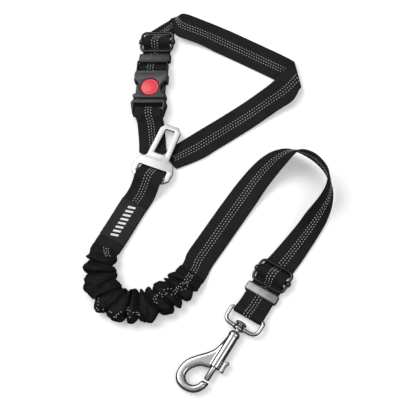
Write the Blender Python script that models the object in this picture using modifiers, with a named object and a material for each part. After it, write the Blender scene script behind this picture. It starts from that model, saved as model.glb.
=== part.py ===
"""Car restraint leash for a dog: headrest loop with a side-release buckle and a
seat-belt tongue, an elastic section, a webbing leash and a swivel bolt snap.

Metres, +Z up. It lies on a table at z = 0. Lengths below are written in
millimetres and pass through mm(), so that the webbing sizes stay readable.
"""

import bpy
import bmesh
from math import cos, sin, pi, radians
from mathutils import Vector, Matrix

# ---------------------------------------------------------------- driving sizes
WEB_WIDTH = 24.5
WEB_THICK = 1.6
WEB_REST = 1.0            # height of the middle of webbing that lies flat
FOLD_RADIUS = 2.2         # middle radius of the corner fold

LAYOUT_CENTRE = (7.78, 8.41)  # middle of the laid-out leash, in its layout

LEASH_END_AT = (58.6, -70.5)  # lower slider, in the layout
LEASH_END_TURN = -32.5        # degrees about Z
BUCKLE_AT = (-42.6, 104.3)    # middle of the lock button, in the layout
BUCKLE_TURN = -4.0
TONGUE_AT = (-42.5, 20.4)     # middle of the tongue's end bar, in the layout
TONGUE_TURN = -23.0

SLIDER_LENGTH = 21.0
SLIDER_HALF_WIDTH = 14.0      # to the middle of the side wire
SLIDER_WIRE = 1.2             # radius
SLIDER_HEIGHT = 4.9
SLIDER_BAR_WIDTH = 3.2
SLIDER_BAR_THICK = 1.6
UPPER_SLIDER_X = 1.6
UPPER_SLIDER_Y = 48.0

KEEPER_LENGTH = 8.0
KEEPER_WIDTH = 28.2
KEEPER_HEIGHT = 6.2
KEEPER_WALL = 1.0

EYE_BAR = -36.7               # the eye's straight bar, along the leash's end
EYE_BOTTOM = -49.4
EYE_HALF_WIDTH = 14.6
EYE_WIRE = 1.6
EYE_HEIGHT = 4.8
SNAP_X = -1.0                 # the snap's axis, across the leash's end
BARREL_TOP = -53.4
BARREL_BOTTOM = -86.6
BARREL_RADIUS = 4.5
BOLT_RADIUS = 2.3
BORE_RADIUS = 2.6
BOLT_TIP = -97.6
BOLT_TOP = -75.6
HOOK_WIRE = 3.1

HOUSING_TOP = 26.8
HOUSING_BOTTOM = -10.6
HOUSING_WIDTH = 29.4
HOUSING_BASE = 0.5
HOUSING_HEIGHT = 10.0
HOUSING_WALL = 1.3
BUTTON_RADIUS = 7.8
BUTTON_HOLE = 8.1
BUTTON_TOP = 11.0
BUTTON_FLOOR = 8.2
MALE_WIDTH = 31.6
INNER_BAR_Y = 20.3            # the housing's own bar, which the loop's end goes round
INNER_BAR_HEIGHT = 5.0
INNER_BAR_RADIUS = 1.9
ARM_HINGE_X = 7.3             # the root of each sprung arm
ARM_HINGE_Y = -10.2

TONGUE_THICK = 2.6
TONGUE_HEIGHT = 5.3
END_BAR_HALF = 2.0            # half width of the tongue's end bar
SLOT_END = 9.3
TONGUE_TIP = 50.6

COVER_WALL = 1.4

LABEL_LENGTH = 37.0
LABEL_THICK = 0.6
LABEL_TURN = 59.9             # direction of the label strap, degrees from +X
LABEL_STRAP_END = (-75.6, -37.8)


def mm(value):
    return value * 0.001


# ------------------------------------------------------------------- clean start
for old in list(bpy.data.objects):
    bpy.data.objects.remove(old)

parts = bpy.data.collections.new("restraint_leash")
cutters = bpy.data.collections.new("restraint_leash_cutters")
bpy.context.scene.collection.children.link(parts)
bpy.context.scene.collection.children.link(cutters)


# --------------------------------------------------------------------- materials
def material(name, colour, roughness, metallic):
    mat = bpy.data.materials.new(name)
    mat.use_nodes = True
    shader = mat.node_tree.nodes["Principled BSDF"]
    shader.inputs["Base Color"].default_value = (*colour, 1.0)
    shader.inputs["Roughness"].default_value = roughness
    shader.inputs["Metallic"].default_value = metallic
    mat.diffuse_color = (*colour, 1.0)
    return mat


FINISHES = {
    "webbing": ((0.020, 0.020, 0.022), 0.80, 0.0),
    "label": ((0.012, 0.012, 0.013), 0.55, 0.0),
    "elastic": ((0.45, 0.44, 0.42), 0.75, 0.0),
    "buckle": ((0.055, 0.055, 0.058), 0.45, 0.0),
    "button": ((0.80, 0.05, 0.08), 0.40, 0.0),
    "gunmetal": ((0.030, 0.030, 0.032), 0.30, 0.9),
    "steel": ((0.62, 0.62, 0.62), 0.32, 1.0),
    "nickel": ((0.75, 0.75, 0.76), 0.15, 1.0),
    "spring": ((0.55, 0.55, 0.56), 0.30, 1.0),
}


def finish(obj, slot):
    colour, roughness, metallic = FINISHES[slot]
    obj.data.materials.clear()
    obj.data.materials.append(material(obj.name, colour, roughness, metallic))
    return obj


# -------------------------------------------------------------------- placements
def empty(name, place, turn, parent=None):
    obj = bpy.data.objects.new(name, None)
    obj.empty_display_size = 0.01
    obj.location = [mm(v) for v in place]
    obj.rotation_euler = (0, 0, radians(turn))
    obj.parent = parent
    parts.objects.link(obj)
    return obj


layout = empty("layout", (-LAYOUT_CENTRE[0], -LAYOUT_CENTRE[1], 0), 0)
leash_end = empty("leash_end", (*LEASH_END_AT, 0), LEASH_END_TURN, layout)
buckle = empty("buckle", (*BUCKLE_AT, 0), BUCKLE_TURN, layout)
tongue = empty("tongue", (*TONGUE_AT, 0), TONGUE_TURN, layout)


# --------------------------------------------------------------- modelling tools
def add_object(name, data, parent, group=parts):
    obj = bpy.data.objects.new(name, data)
    obj.parent = parent
    group.objects.link(obj)
    return obj


def mesh_object(name, bm, parent, group=parts):
    data = bpy.data.meshes.new(name)
    bm.to_mesh(data)
    bm.free()
    return add_object(name, data, parent, group)


def box(name, low, high, parent, group=parts):
    bm = bmesh.new()
    bmesh.ops.create_cube(bm, size=1.0)
    for vert in bm.verts:
        for axis in range(3):
            share = vert.co[axis] + 0.5
            vert.co[axis] = mm(low[axis] + share * (high[axis] - low[axis]))
    return mesh_object(name, bm, parent, group)


def cylinder(name, start, end, radius, parent, group=parts, sides=24):
    start = Vector(start)
    end = Vector(end)
    along = end - start
    bm = bmesh.new()
    bmesh.ops.create_cone(bm, cap_ends=True, segments=sides, radius1=mm(radius), radius2=mm(radius),
                          depth=mm(along.length))
    turn = Vector((0, 0, 1)).rotation_difference(along.normalized())
    middle = (start + end) / 2
    place = Matrix.Translation([mm(v) for v in middle]) @ turn.to_matrix().to_4x4()
    bmesh.ops.transform(bm, matrix=place, verts=bm.verts)
    return mesh_object(name, bm, parent, group)


def bevelled(obj, width, segments=2, angle=40):
    bevel = obj.modifiers.new("rounded edges", "BEVEL")
    bevel.width = mm(width)
    bevel.segments = segments
    bevel.limit_method = "ANGLE"
    bevel.angle_limit = radians(angle)
    return obj


def cut(obj, *tools):
    for tool in tools:
        tool.hide_render = True
        tool.display_type = "WIRE"
        step = obj.modifiers.new("cut " + tool.name, "BOOLEAN")
        step.operation = "DIFFERENCE"
        step.object = tool
        step.solver = "EXACT"
    return obj


def join(obj, *pieces):
    for piece in pieces:
        piece.hide_render = True
        piece.display_type = "WIRE"
        step = obj.modifiers.new("join " + piece.name, "BOOLEAN")
        step.operation = "UNION"
        step.object = piece
        step.solver = "EXACT"
    return obj


def smooth(obj, angle=35):
    obj.data.shade_smooth()
    obj.data.set_sharp_from_angle(angle=radians(angle))
    return obj


def wire(name, points, radius, parent, group=parts, closed=False, sides=2, radii=None):
    curve = bpy.data.curves.new(name, "CURVE")
    curve.dimensions = "3D"
    curve.bevel_depth = mm(radius)
    curve.bevel_resolution = sides
    curve.use_fill_caps = not closed
    spline = curve.splines.new("POLY")
    spline.points.add(len(points) - 1)
    for index, point in enumerate(points):
        spline.points[index].co = (*[mm(v) for v in point], 1.0)
        if radii:
            spline.points[index].radius = radii[index]
    spline.use_cyclic_u = closed
    return add_object(name, curve, parent, group)


def as_mesh(obj, group=parts):
    """The curve as one welded mesh object in the same place."""
    bpy.context.view_layer.update()
    graph = bpy.context.evaluated_depsgraph_get()
    data = bpy.data.meshes.new_from_object(obj.evaluated_get(graph))
    bm = bmesh.new()
    bm.from_mesh(data)
    bmesh.ops.remove_doubles(bm, verts=bm.verts, dist=0.00001)
    bm.to_mesh(data)
    bm.free()
    name = obj.name
    parent = obj.parent
    place = obj.matrix_world.copy()
    bpy.data.objects.remove(obj)
    made = add_object(name, data, parent, group)
    made.matrix_world = place
    return made


def plate(name, outlines, height, thickness, parent, group=parts):
    """Flat outlines in the XY plane; every outline after the first is a hole."""
    curve = bpy.data.curves.new(name, "CURVE")
    curve.dimensions = "2D"
    curve.fill_mode = "BOTH"
    curve.extrude = mm(thickness / 2)
    for outline in outlines:
        spline = curve.splines.new("POLY")
        spline.points.add(len(outline) - 1)
        for index, (x, y) in enumerate(outline):
            spline.points[index].co = (mm(x), mm(y), 0, 1)
        spline.use_cyclic_u = True
    obj = add_object(name, curve, parent, group)
    obj.location = (0, 0, mm(height))
    return obj


def rounded(corners, steps=3):
    """A closed outline from (x, y, corner radius), each corner turned into an arc."""
    outline = []
    count = len(corners)
    for index, (x, y, radius) in enumerate(corners):
        here = Vector((x, y))
        before = Vector(corners[index - 1][:2]) - here
        after = Vector(corners[(index + 1) % count][:2]) - here
        if radius == 0:
            outline.append((x, y))
            continue
        half = before.angle(after) / 2
        reach = radius / max(0.05, abs(sin(half) / cos(half)))
        start = here + before.normalized() * reach
        end = here + after.normalized() * reach
        for step in range(steps + 1):
            share = step / steps
            blend = start.lerp(here, share).lerp(here.lerp(end, share), share)
            outline.append((blend.x, blend.y))
    return outline


def mirrored_outline(right_side):
    """A closed outline from its right half, listed from the bottom to the top."""
    left_side = [(-x, y, radius) for x, y, radius in reversed(right_side)]
    return right_side + left_side


def smooth_route(points, steps):
    """Catmull-Rom curve through points of any size; passes through each of them."""
    route = [Vector(p) for p in points]
    ends = [route[0] * 2 - route[1], *route, route[-1] * 2 - route[-2]]
    out = []
    for index in range(1, len(ends) - 2):
        a, b, c, d = ends[index - 1:index + 3]
        for step in range(steps):
            t = step / steps
            out.append(((b * 2) + (c - a) * t + (a * 2 - b * 5 + c * 4 - d) * t ** 2
                        + (b * 3 - a - c * 3 + d) * t ** 3) / 2)
    out.append(route[-1])
    return out


def ribbon(name, left, right, parent, thickness=WEB_THICK, columns=2):
    """Webbing between two edges that have the same number of points."""
    rows = len(left)
    bm = bmesh.new()
    bmesh.ops.create_grid(bm, x_segments=rows - 1, y_segments=columns, size=0.5)
    for vert in bm.verts:
        row = round((vert.co.x + 0.5) * (rows - 1))
        share = vert.co.y + 0.5
        vert.co = left[row].lerp(right[row], 1 - share) * 0.001
    obj = mesh_object(name, bm, parent)
    solid = obj.modifiers.new("webbing thickness", "SOLIDIFY")
    solid.thickness = mm(thickness)
    solid.offset = 0
    return obj


def flat_edges(centre, width=WEB_WIDTH):
    """Left and right edges beside a route, level across its width."""
    left = []
    right = []
    for index, point in enumerate(centre):
        ahead = centre[min(index + 1, len(centre) - 1)]
        behind = centre[max(index - 1, 0)]
        along = Vector((ahead.x - behind.x, ahead.y - behind.y, 0)).normalized()
        side = Vector((-along.y, along.x, 0)) * (width / 2)
        left.append(point + side)
        right.append(point - side)
    return left, right


class Fold:
    """A diagonal fold: what lies beyond the line rolls round it and goes below."""

    def __init__(self, at, line_angle, radius):
        self.at = Vector((*at, 0))
        self.line = Vector((cos(radians(line_angle)), sin(radians(line_angle)), 0))
        self.beyond = Vector((self.line.y, -self.line.x, 0))
        self.radius = radius

    def unfold(self, point):
        """Where a point of the lower layer would be with the strap opened flat."""
        flat = Vector(point) - self.at
        reach = pi * self.radius - flat.dot(self.beyond)
        place = self.at + self.line * flat.dot(self.line) + self.beyond * reach
        return Vector((place.x, place.y, point[2] + 2 * self.radius))

    def apply(self, point):
        offset = point - self.at
        reach = offset.dot(self.beyond)
        along = self.at + self.line * offset.dot(self.line)
        if reach <= 0:
            return point.copy()
        turn = reach / self.radius
        if turn < pi:
            side = self.radius * sin(turn)
            drop = self.radius * (1 - cos(turn))
        else:
            side = pi * self.radius - reach
            drop = 2 * self.radius
        place = along + self.beyond * side
        return Vector((place.x, place.y, point.z - drop))


def folded_ribbon(name, before, after, fold, parent, steps=6, columns=8):
    """Flat webbing along before, folded over the line, and on along after."""
    opened = [Vector(p) for p in before] + [fold.unfold(p) for p in after]
    left, right = flat_edges(smooth_route(opened, steps))
    obj = ribbon(name, left, right, parent, columns=columns)
    for vert in obj.data.vertices:
        vert.co = fold.apply(vert.co * 1000) * 0.001
    return obj


# --------------------------------------------------------- hardware for webbing
def slider(name, parent, x, y):
    """A wire frame and the bar whose eyelets run on the frame's sides."""
    half = SLIDER_LENGTH / 2 - SLIDER_WIRE
    wide = SLIDER_HALF_WIDTH
    corners = [(wide, -half, 4), (wide, half, 4), (-wide, half, 4), (-wide, -half, 4)]
    loop = [(x + px, y + py, SLIDER_HEIGHT) for px, py in rounded(corners, 4)]
    finish(wire(name + "_frame", loop, SLIDER_WIRE, parent, closed=True), "gunmetal")

    bar_half = SLIDER_BAR_WIDTH / 2
    thick_half = SLIDER_BAR_THICK / 2
    bar = box(name + "_bar", (x - wide - 2.4, y - bar_half, SLIDER_HEIGHT - thick_half),
              (x + wide + 2.4, y + bar_half, SLIDER_HEIGHT + thick_half), parent)
    for side in (-1, 1):
        middle = x + side * wide
        tag = name + ("_left" if side < 0 else "_right")
        eyelet = box(tag + "_eyelet", (middle - 2.2, y - 1.9, SLIDER_HEIGHT - 2.2),
                     (middle + 2.2, y + 1.9, SLIDER_HEIGHT + 2.2), parent, cutters)
        join(bar, bevelled(eyelet, 0.6))
        hole = cylinder(tag + "_hole", (middle, y - 6, SLIDER_HEIGHT), (middle, y + 6, SLIDER_HEIGHT),
                        SLIDER_WIRE + 0.3, parent, cutters, 16)
        cut(bar, hole)
    finish(bar, "gunmetal")


def keeper(name, parent, x, y, slot):
    half = KEEPER_WIDTH / 2
    body = box(name, (x - half, y - KEEPER_LENGTH / 2, 0),
               (x + half, y + KEEPER_LENGTH / 2, KEEPER_HEIGHT), parent)
    bevelled(body, 0.7)
    inner = half - KEEPER_WALL
    hole = box(name + "_inside", (x - inner, y - KEEPER_LENGTH, KEEPER_WALL),
               (x + inner, y + KEEPER_LENGTH, KEEPER_HEIGHT - KEEPER_WALL), parent, cutters)
    cut(body, hole)
    return finish(body, slot)


def end_loop(name, parent, x, y, bar_distance, bar_height, bar_radius, bar_shift=0.0):
    """Webbing that humps over the slider, loops round a bar and comes back."""
    wrap = bar_radius + 0.35 + WEB_THICK / 2
    lower = 2.0
    upper = 4.0
    route = [
        (9.6, WEB_REST), (7.2, WEB_REST + 0.9), (5.2, 3.6), (3.9, 6.9),
        (1.6, 8.7), (-1.6, 8.7), (-3.9, 6.9), (-5.0, 4.2), (-6.6, 2.9),
        (-9.6, 2.75), (-11.6, 3.9), (-14.0, upper), (-bar_distance + wrap + 5.0, upper),
    ]
    for step in range(7):
        turn = radians(90 + 30 * step)
        route.append((-bar_distance + wrap * cos(turn), bar_height + wrap * sin(turn)))
    route += [
        (-bar_distance + wrap + 5.0, lower), (-14.0, lower), (-11.7, 1.9), (-9.4, 1.05), (-7.5, WEB_REST),
        (-5.0, WEB_REST), (-2.6, WEB_REST + 0.4),
    ]
    centre = smooth_route([(x, y + along, height) for along, height in route], 2)
    for point in centre:
        past_slider = y - point.y - SLIDER_LENGTH / 2
        point.x += bar_shift * min(1.0, max(0.0, past_slider / 13.0))
    side = Vector((WEB_WIDTH / 2, 0, 0))
    left = [point - side for point in centre]
    right = [point + side for point in centre]
    return finish(ribbon(name, left, right, parent, columns=1), "webbing")


# ------------------------------------------------------------------ headrest loop
corner = Fold((83.0, 111.0), 98.0, FOLD_RADIUS)
corner_top = WEB_REST + 2 * FOLD_RADIUS
finish(folded_ribbon(
    "loop_strap",
    [(-25.5, 36.0, WEB_REST), (-4.0, 47.6, WEB_REST), (9.1, 55.6, WEB_REST), (26.7, 66.2, WEB_REST),
     (44.0, 76.9, 1.8), (60.5, 87.6, 4.0), (72.5, 97.3, corner_top), (80.5, 107.0, corner_top)],
    [(76.0, 116.0, WEB_REST), (62.7, 124.4, WEB_REST), (50.3, 132.1, WEB_REST), (33.2, 142.6, WEB_REST)],
    corner, layout), "webbing")

# The other corner is bunched beside the slider, so its two edges are given apart.
END_LEFT = [
    (26.5, 132.3, 1.0), (13.8, 139.6, 1.8), (1.6, 146.6, 3.6), (-10.5, 151.8, 5.6), (-19.5, 156.5, 7.0),
    (-23.4, 163.5, 7.4), (-25.2, 171.8, 7.0), (-26.4, 176.4, 4.3), (-27.8, 175.6, 1.6),
    (-32.4, 173.0, 1.0), (-40.4, 167.9, 1.0), (-48.4, 162.9, 1.0),
]
END_RIGHT = [
    (38.9, 153.5, 1.0), (26.2, 160.8, 1.8), (14.8, 167.3, 3.6), (7.0, 170.9, 5.6), (3.2, 172.2, 7.0),
    (1.2, 173.0, 7.2), (-0.6, 174.0, 6.6), (-1.8, 174.6, 4.3), (-3.2, 173.4, 1.6),
    (-8.0, 170.4, 1.0), (-16.2, 165.6, 1.0), (-24.0, 161.1, 1.0),
]
finish(ribbon("loop_strap_end", smooth_route(END_LEFT, 3), smooth_route(END_RIGHT, 3), layout), "webbing")

# --------------------------------------------------------------- buckle and loop end
slider("upper_slider", buckle, UPPER_SLIDER_X, UPPER_SLIDER_Y)
keeper("upper_keeper", buckle, 0.9, 31.9, "gunmetal")
end_loop("buckle_end_strap", buckle, UPPER_SLIDER_X, UPPER_SLIDER_Y, UPPER_SLIDER_Y - INNER_BAR_Y,
         INNER_BAR_HEIGHT, INNER_BAR_RADIUS, -UPPER_SLIDER_X)


def buckle_housing():
    half = HOUSING_WIDTH / 2
    top = HOUSING_BASE + HOUSING_HEIGHT
    outline = mirrored_outline([
        (half - 1.0, HOUSING_BOTTOM, 1.5), (half, HOUSING_BOTTOM + 3, 2), (half, 14.0, 2),
        (half - 1.2, 16.5, 2), (half - 1.2, HOUSING_TOP, 1.5)])
    body = as_mesh(plate("buckle_housing", [rounded(outline)], HOUSING_BASE + HOUSING_HEIGHT / 2,
                         HOUSING_HEIGHT, buckle))
    bevelled(body, 1.2, 2)
    inside = half - HOUSING_WALL
    cavity = box("housing_cavity", (-inside, HOUSING_BOTTOM - 2, HOUSING_BASE + HOUSING_WALL),
                 (inside, 14.2, top - 1.6), buckle, cutters)
    window = box("housing_window", (-WEB_WIDTH / 2 - 0.6, 15.8, HOUSING_BASE - 2),
                 (WEB_WIDTH / 2 + 0.6, 25.0, top + 2), buckle, cutters)
    entry = box("housing_entry", (-WEB_WIDTH / 2 - 0.6, 24.0, HOUSING_BASE - 2),
                (WEB_WIDTH / 2 + 0.6, HOUSING_TOP + 2, 7.0), buckle, cutters)
    button_hole = cylinder("housing_button_hole", (0, 0, 5), (0, 0, 14), BUTTON_HOLE, buckle, cutters, 36)
    cut(body, cavity, window, entry, button_hole)
    for side, tag in ((-1, "left"), (1, "right")):
        opening = cylinder("housing_%s_opening" % tag, (side * 16.6, 0, -1), (side * 16.6, 0, 14), 7.2,
                           buckle, cutters, 32)
        cut(body, opening)
    bar = cylinder("housing_inner_bar", (-WEB_WIDTH / 2 - 1.2, INNER_BAR_Y, INNER_BAR_HEIGHT),
                   (WEB_WIDTH / 2 + 1.2, INNER_BAR_Y, INNER_BAR_HEIGHT), INNER_BAR_RADIUS,
                   buckle, cutters, 16)
    join(body, bar)
    return finish(body, "buckle")


def male_base():
    half = MALE_WIDTH / 2
    outline = mirrored_outline([
        (half - 2.6, -26.0, 1.5), (half, -14.6, 2.5), (half - 2.4, HOUSING_BOTTOM - 0.4, 1.0)])
    body = as_mesh(plate("buckle_base", [rounded(outline)], 5.5, 9.4, buckle))
    bevelled(body, 1.2, 2)
    slot = box("base_slot", (-WEB_WIDTH / 2 - 0.6, -21.4, -2), (WEB_WIDTH / 2 + 0.6, -15.2, 14),
               buckle, cutters)
    under = box("base_under_bar", (-WEB_WIDTH / 2 - 0.6, -28, -2), (WEB_WIDTH / 2 + 0.6, -19, 3.4),
                buckle, cutters)
    over = box("base_over_bar", (-WEB_WIDTH / 2 - 0.6, -28, 7.0), (WEB_WIDTH / 2 + 0.6, -19, 14),
               buckle, cutters)
    cut(body, slot, under, over)
    return finish(body, "buckle")


def buckle_arm(tag, side):
    """A spring arm of the male half; its pad shows in the housing's side opening."""
    corners = [(5.2, -10.6, 0.5), (9.4, -10.6, 0.5), (10.4, -5.0, 1.0), (12.9, -3.4, 1.0),
               (12.9, 4.2, 1.5), (10.6, 8.6, 1.2), (8.6, 8.6, 1.0), (8.6, -2.0, 1.5)]
    outline = [(side * x, y) for x, y in rounded(corners)]
    arm = as_mesh(plate("buckle_arm_" + tag, [outline], 4.4, 4.0, buckle))
    hinge_x = side * ARM_HINGE_X
    for vert in arm.data.vertices:
        vert.co.x -= mm(hinge_x)
        vert.co.y -= mm(ARM_HINGE_Y)
    arm.location.x += mm(hinge_x)
    arm.location.y += mm(ARM_HINGE_Y)
    bevelled(arm, 0.5, 1)
    return finish(arm, "buckle")


def spring(name, start, end, radius, wire_radius, turns, parent):
    start = Vector(start)
    end = Vector(end)
    turn = Vector((0, 0, 1)).rotation_difference((end - start).normalized())
    per_turn = 9
    points = []
    for step in range(turns * per_turn + 1):
        angle = 2 * pi * step / per_turn
        along = (end - start).length * step / (turns * per_turn)
        points.append(start + turn @ Vector((radius * cos(angle), radius * sin(angle), along)))
    return finish(wire(name, points, wire_radius, parent, sides=1), "spring")


buckle_housing()
male_base()
buckle_arm("left", -1)
buckle_arm("right", 1)
button = cylinder("lock_button", (0, 0, BUTTON_FLOOR), (0, 0, BUTTON_TOP), BUTTON_RADIUS, buckle, sides=36)
finish(smooth(bevelled(button, 0.8, 2)), "button")
spring("lock_button_spring", (0, 0, 2.6), (0, 0, BUTTON_FLOOR - 0.8), 3.2, 0.4, 3, buckle)

# ------------------------------------------------------- short strap to the buckle
short_route = [
    (-59.0, WEB_REST), (-52.0, WEB_REST), (-44.0, WEB_REST), (-36.0, WEB_REST), (-30.0, 1.2), (-26.5, 1.8),
    (-23.0, 2.0), (-20.7, 2.4), (-19.2, 4.2), (-19.1, 6.4), (-20.6, 8.2), (-23.0, 8.5), (-26.0, 8.3),
    (-28.9, 6.5), (-31.8, 4.3), (-36.0, 3.0), (-40.0, 3.0),
]
short_centre = smooth_route([(0, along, height) for along, height in short_route], 2)
half_web = Vector((WEB_WIDTH / 2, 0, 0))
finish(ribbon("buckle_base_strap", [p - half_web for p in short_centre], [p + half_web for p in short_centre],
              buckle, columns=1), "webbing")

# ------------------------------------------------------------------------- tongue
tongue_outline = mirrored_outline([
    (12.6, -END_BAR_HALF, 2), (17.2, 1.6, 3), (18.0, 9.5, 3), (15.4, 16.6, 1.5), (10.2, 18.6, 3),
    (9.4, 46.2, 2.5), (6.0, TONGUE_TIP, 2)])
slot_half = WEB_WIDTH / 2 + 0.6
tongue_slot = [(-slot_half, END_BAR_HALF, 0.8), (slot_half, END_BAR_HALF, 0.8), (slot_half, SLOT_END, 0.8),
               (-slot_half, SLOT_END, 0.8)]
latch_window = [(-5.2, 23.0, 1), (5.2, 23.0, 1), (4.2, 46.2, 1), (-4.2, 46.2, 1)]
tongue_outlines = [rounded(outline) for outline in (tongue_outline, tongue_slot, latch_window)]
tongue_plate = as_mesh(plate("seat_belt_tongue", tongue_outlines, TONGUE_HEIGHT, TONGUE_THICK, tongue))
finish(bevelled(tongue_plate, 0.35, 1), "steel")

# ----------------------------------------------------------- strap with the label
label_route = [
    (-74.6, -36.0, 2.2), (-71.5, -30.6, 1.6), (-64.0, -17.4, WEB_REST), (-56.5, -4.4, WEB_REST),
    (-50.4, 6.2, 1.6), (-46.6, 13.0, 5.4), (-44.3, 17.0, 8.7), (-42.2, 20.8, 9.3), (-40.2, 24.6, 6.9), (-38.6, 28.0, 3.0),
    (-37.4, 31.4, 2.4), (-36.2, 34.4, 2.4),
]
label_left, label_right = flat_edges(smooth_route(label_route, 3))
finish(ribbon("label_strap", label_left, label_right, layout), "webbing")

label_end = Vector((*LABEL_STRAP_END, 0))
label_along = Vector((cos(radians(LABEL_TURN)), sin(radians(LABEL_TURN)), 0))
label_patch = box("label_patch", (-WEB_WIDTH / 2, -LABEL_LENGTH / 2, 0),
                  (WEB_WIDTH / 2, LABEL_LENGTH / 2, LABEL_THICK), layout)
label_patch.rotation_euler = (0, 0, radians(LABEL_TURN - 90))
label_patch.location = (label_end + label_along * (LABEL_LENGTH / 2 + 6.0)) * 0.001
label_patch.location.z = mm(WEB_REST + WEB_THICK / 2 + 1.1)
finish(label_patch, "label")

# --------------------------------------------------------------- elastic section
elastic_route = [
    (-76.6, -39.6, 4.0), (-79.0, -46.0, 5.6), (-80.4, -55.0, 6.8), (-80.0, -66.0, 7.2), (-75.8, -79.0, 7.2),
    (-66.0, -88.6, 7.2), (-51.0, -92.2, 7.2), (-35.0, -89.4, 7.2), (-20.6, -81.0, 6.8), (-10.4, -71.0, 5.6),
    (-5.2, -64.6, 3.6),
]
cover_half_widths = [12.2, 12.6, 13.6, 14.2, 14.0, 14.2, 14.0, 14.0, 13.8, 13.0, 12.2]
cover_half_heights = [2.2, 4.0, 5.8, 6.4, 6.4, 6.4, 6.4, 6.4, 5.8, 4.2, 2.4]


def cover_tube(name, route, half_widths, half_heights, wall, around=14):
    """An open tube with oval sections, level across its width."""
    left, right = flat_edges(route, 2.0)
    rows = len(route)
    bm = bmesh.new()
    bmesh.ops.create_grid(bm, x_segments=rows - 1, y_segments=around, size=0.5)
    for vert in bm.verts:
        row = round((vert.co.x + 0.5) * (rows - 1))
        turn = 2 * pi * (vert.co.y + 0.5)
        side = (left[row] - right[row]) / 2
        place = route[row] + side * half_widths[row] * cos(turn)
        place.z += half_heights[row] * sin(turn)
        vert.co = place * 0.001
    bmesh.ops.remove_doubles(bm, verts=bm.verts, dist=0.00001)
    bmesh.ops.recalc_face_normals(bm, faces=bm.faces)
    obj = mesh_object(name, bm, layout)
    solid = obj.modifiers.new("cover thickness", "SOLIDIFY")
    solid.thickness = mm(wall)
    solid.offset = -1
    return obj


def spread(values, steps):
    """The same smoothing as smooth_route, for single numbers."""
    return [p.x for p in smooth_route([(v, 0, 0) for v in values], steps)]


elastic_centre = smooth_route(elastic_route, 3)
finish(cover_tube("elastic_cover", elastic_centre, spread(cover_half_widths, 3),
                  spread(cover_half_heights, 3), COVER_WALL), "webbing")
core_left, core_right = flat_edges(elastic_centre[4:-4], 15.0)
finish(ribbon("elastic_core", core_left, core_right, layout, thickness=2.2, columns=1), "elastic")

# ------------------------------------------------------------------ leash webbing
LEASH_LEFT = [
    (-12.6, -53.4, 1.6), (-9.8, -45.6, 1.0), (1.6, -29.0, 1.0), (15.6, -8.7, 1.0), (27.6, 8.0, 1.0),
    (37.9, 20.9, 1.0), (48.9, 32.0, 1.6), (59.7, 38.4, 3.2), (70.6, 40.0, 5.2), (80.8, 36.8, 6.9),
    (89.2, 31.4, 7.8), (96.4, 25.4, 7.8), (102.6, 18.0, 6.8), (106.9, 9.6, 5.2), (109.2, 0.6, 3.2),
    (108.4, -10.6, 1.6), (103.6, -24.2, 1.0), (95.6, -38.2, 1.0), (82.6, -57.6, 1.0), (74.3, -68.7, 1.0),
]
LEASH_RIGHT = [
    (6.4, -67.4, 1.6), (10.2, -59.6, 1.0), (21.6, -43.2, 1.0), (35.6, -22.9, 1.2), (47.2, -6.8, 2.6),
    (56.0, 5.2, 5.4), (64.6, 14.8, 9.0), (72.0, 21.2, 14.6), (77.6, 24.6, 21.6), (82.6, 26.6, 28.2),
    (89.0, 25.6, 31.4), (96.4, 21.6, 32.0), (103.0, 14.6, 31.0), (106.4, 7.0, 29.2), (105.0, -1.8, 26.4),
    (99.4, -10.4, 22.4), (88.4, -20.6, 15.6), (77.4, -31.8, 8.6), (62.4, -46.6, 2.2), (53.7, -55.5, 1.0),
]
finish(ribbon("leash_strap", smooth_route(LEASH_LEFT, 3), smooth_route(LEASH_RIGHT, 3), layout), "webbing")

slider("lower_slider", leash_end, 0, 0)
keeper("lower_keeper", leash_end, -0.4, -16.0, "steel")
end_loop("leash_end_strap", leash_end, 0, 0, -EYE_BAR, EYE_HEIGHT, EYE_WIRE)


# ---------------------------------------------------------------- swivel bolt snap
def swivel_eye():
    half = EYE_HALF_WIDTH
    corners = [(half, EYE_BAR, 2.4), (half, EYE_BOTTOM, 5.0), (-half, EYE_BOTTOM, 5.0), (-half, EYE_BAR, 2.4)]
    loop = [(SNAP_X * 0.3 + x, y, EYE_HEIGHT) for x, y in rounded(corners, 4)]
    eye = as_mesh(wire("swivel_eye", loop, EYE_WIRE, leash_end, closed=True, sides=3))
    boss = cylinder("eye_boss", (SNAP_X, EYE_BOTTOM + 1.9, EYE_HEIGHT), (SNAP_X, EYE_BOTTOM - 2.3, EYE_HEIGHT),
                    4.1, leash_end, cutters, 24)
    hole = cylinder("eye_hole", (SNAP_X, EYE_BOTTOM + 6, EYE_HEIGHT), (SNAP_X, EYE_BOTTOM - 6, EYE_HEIGHT),
                    2.2, leash_end, cutters, 20)
    join(eye, boss)
    cut(eye, hole)
    return finish(smooth(eye), "nickel")


def swivel_post():
    """The riveted stem that the snap turns on, headed inside the eye."""
    profile = [(0, EYE_BOTTOM + 4.9), (2.6, EYE_BOTTOM + 4.7), (4.0, EYE_BOTTOM + 3.6), (4.2, EYE_BOTTOM + 2.2),
               (1.9, EYE_BOTTOM + 2.2), (1.9, BARREL_TOP + 0.3), (0, BARREL_TOP + 0.3)]
    bm = bmesh.new()
    corners = [bm.verts.new((mm(radius), 0, mm(along))) for radius, along in profile]
    for first, second in zip(corners, corners[1:]):
        bm.edges.new((first, second))
    post = mesh_object("swivel_post", bm, leash_end)
    screw = post.modifiers.new("turned", "SCREW")
    screw.steps = 20
    screw.render_steps = 20
    screw.use_merge_vertices = True
    screw.merge_threshold = 0.00001
    post.rotation_euler = (radians(-90), 0, 0)
    post.location = (mm(SNAP_X), 0, mm(EYE_HEIGHT))
    return finish(post, "nickel")


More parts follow.
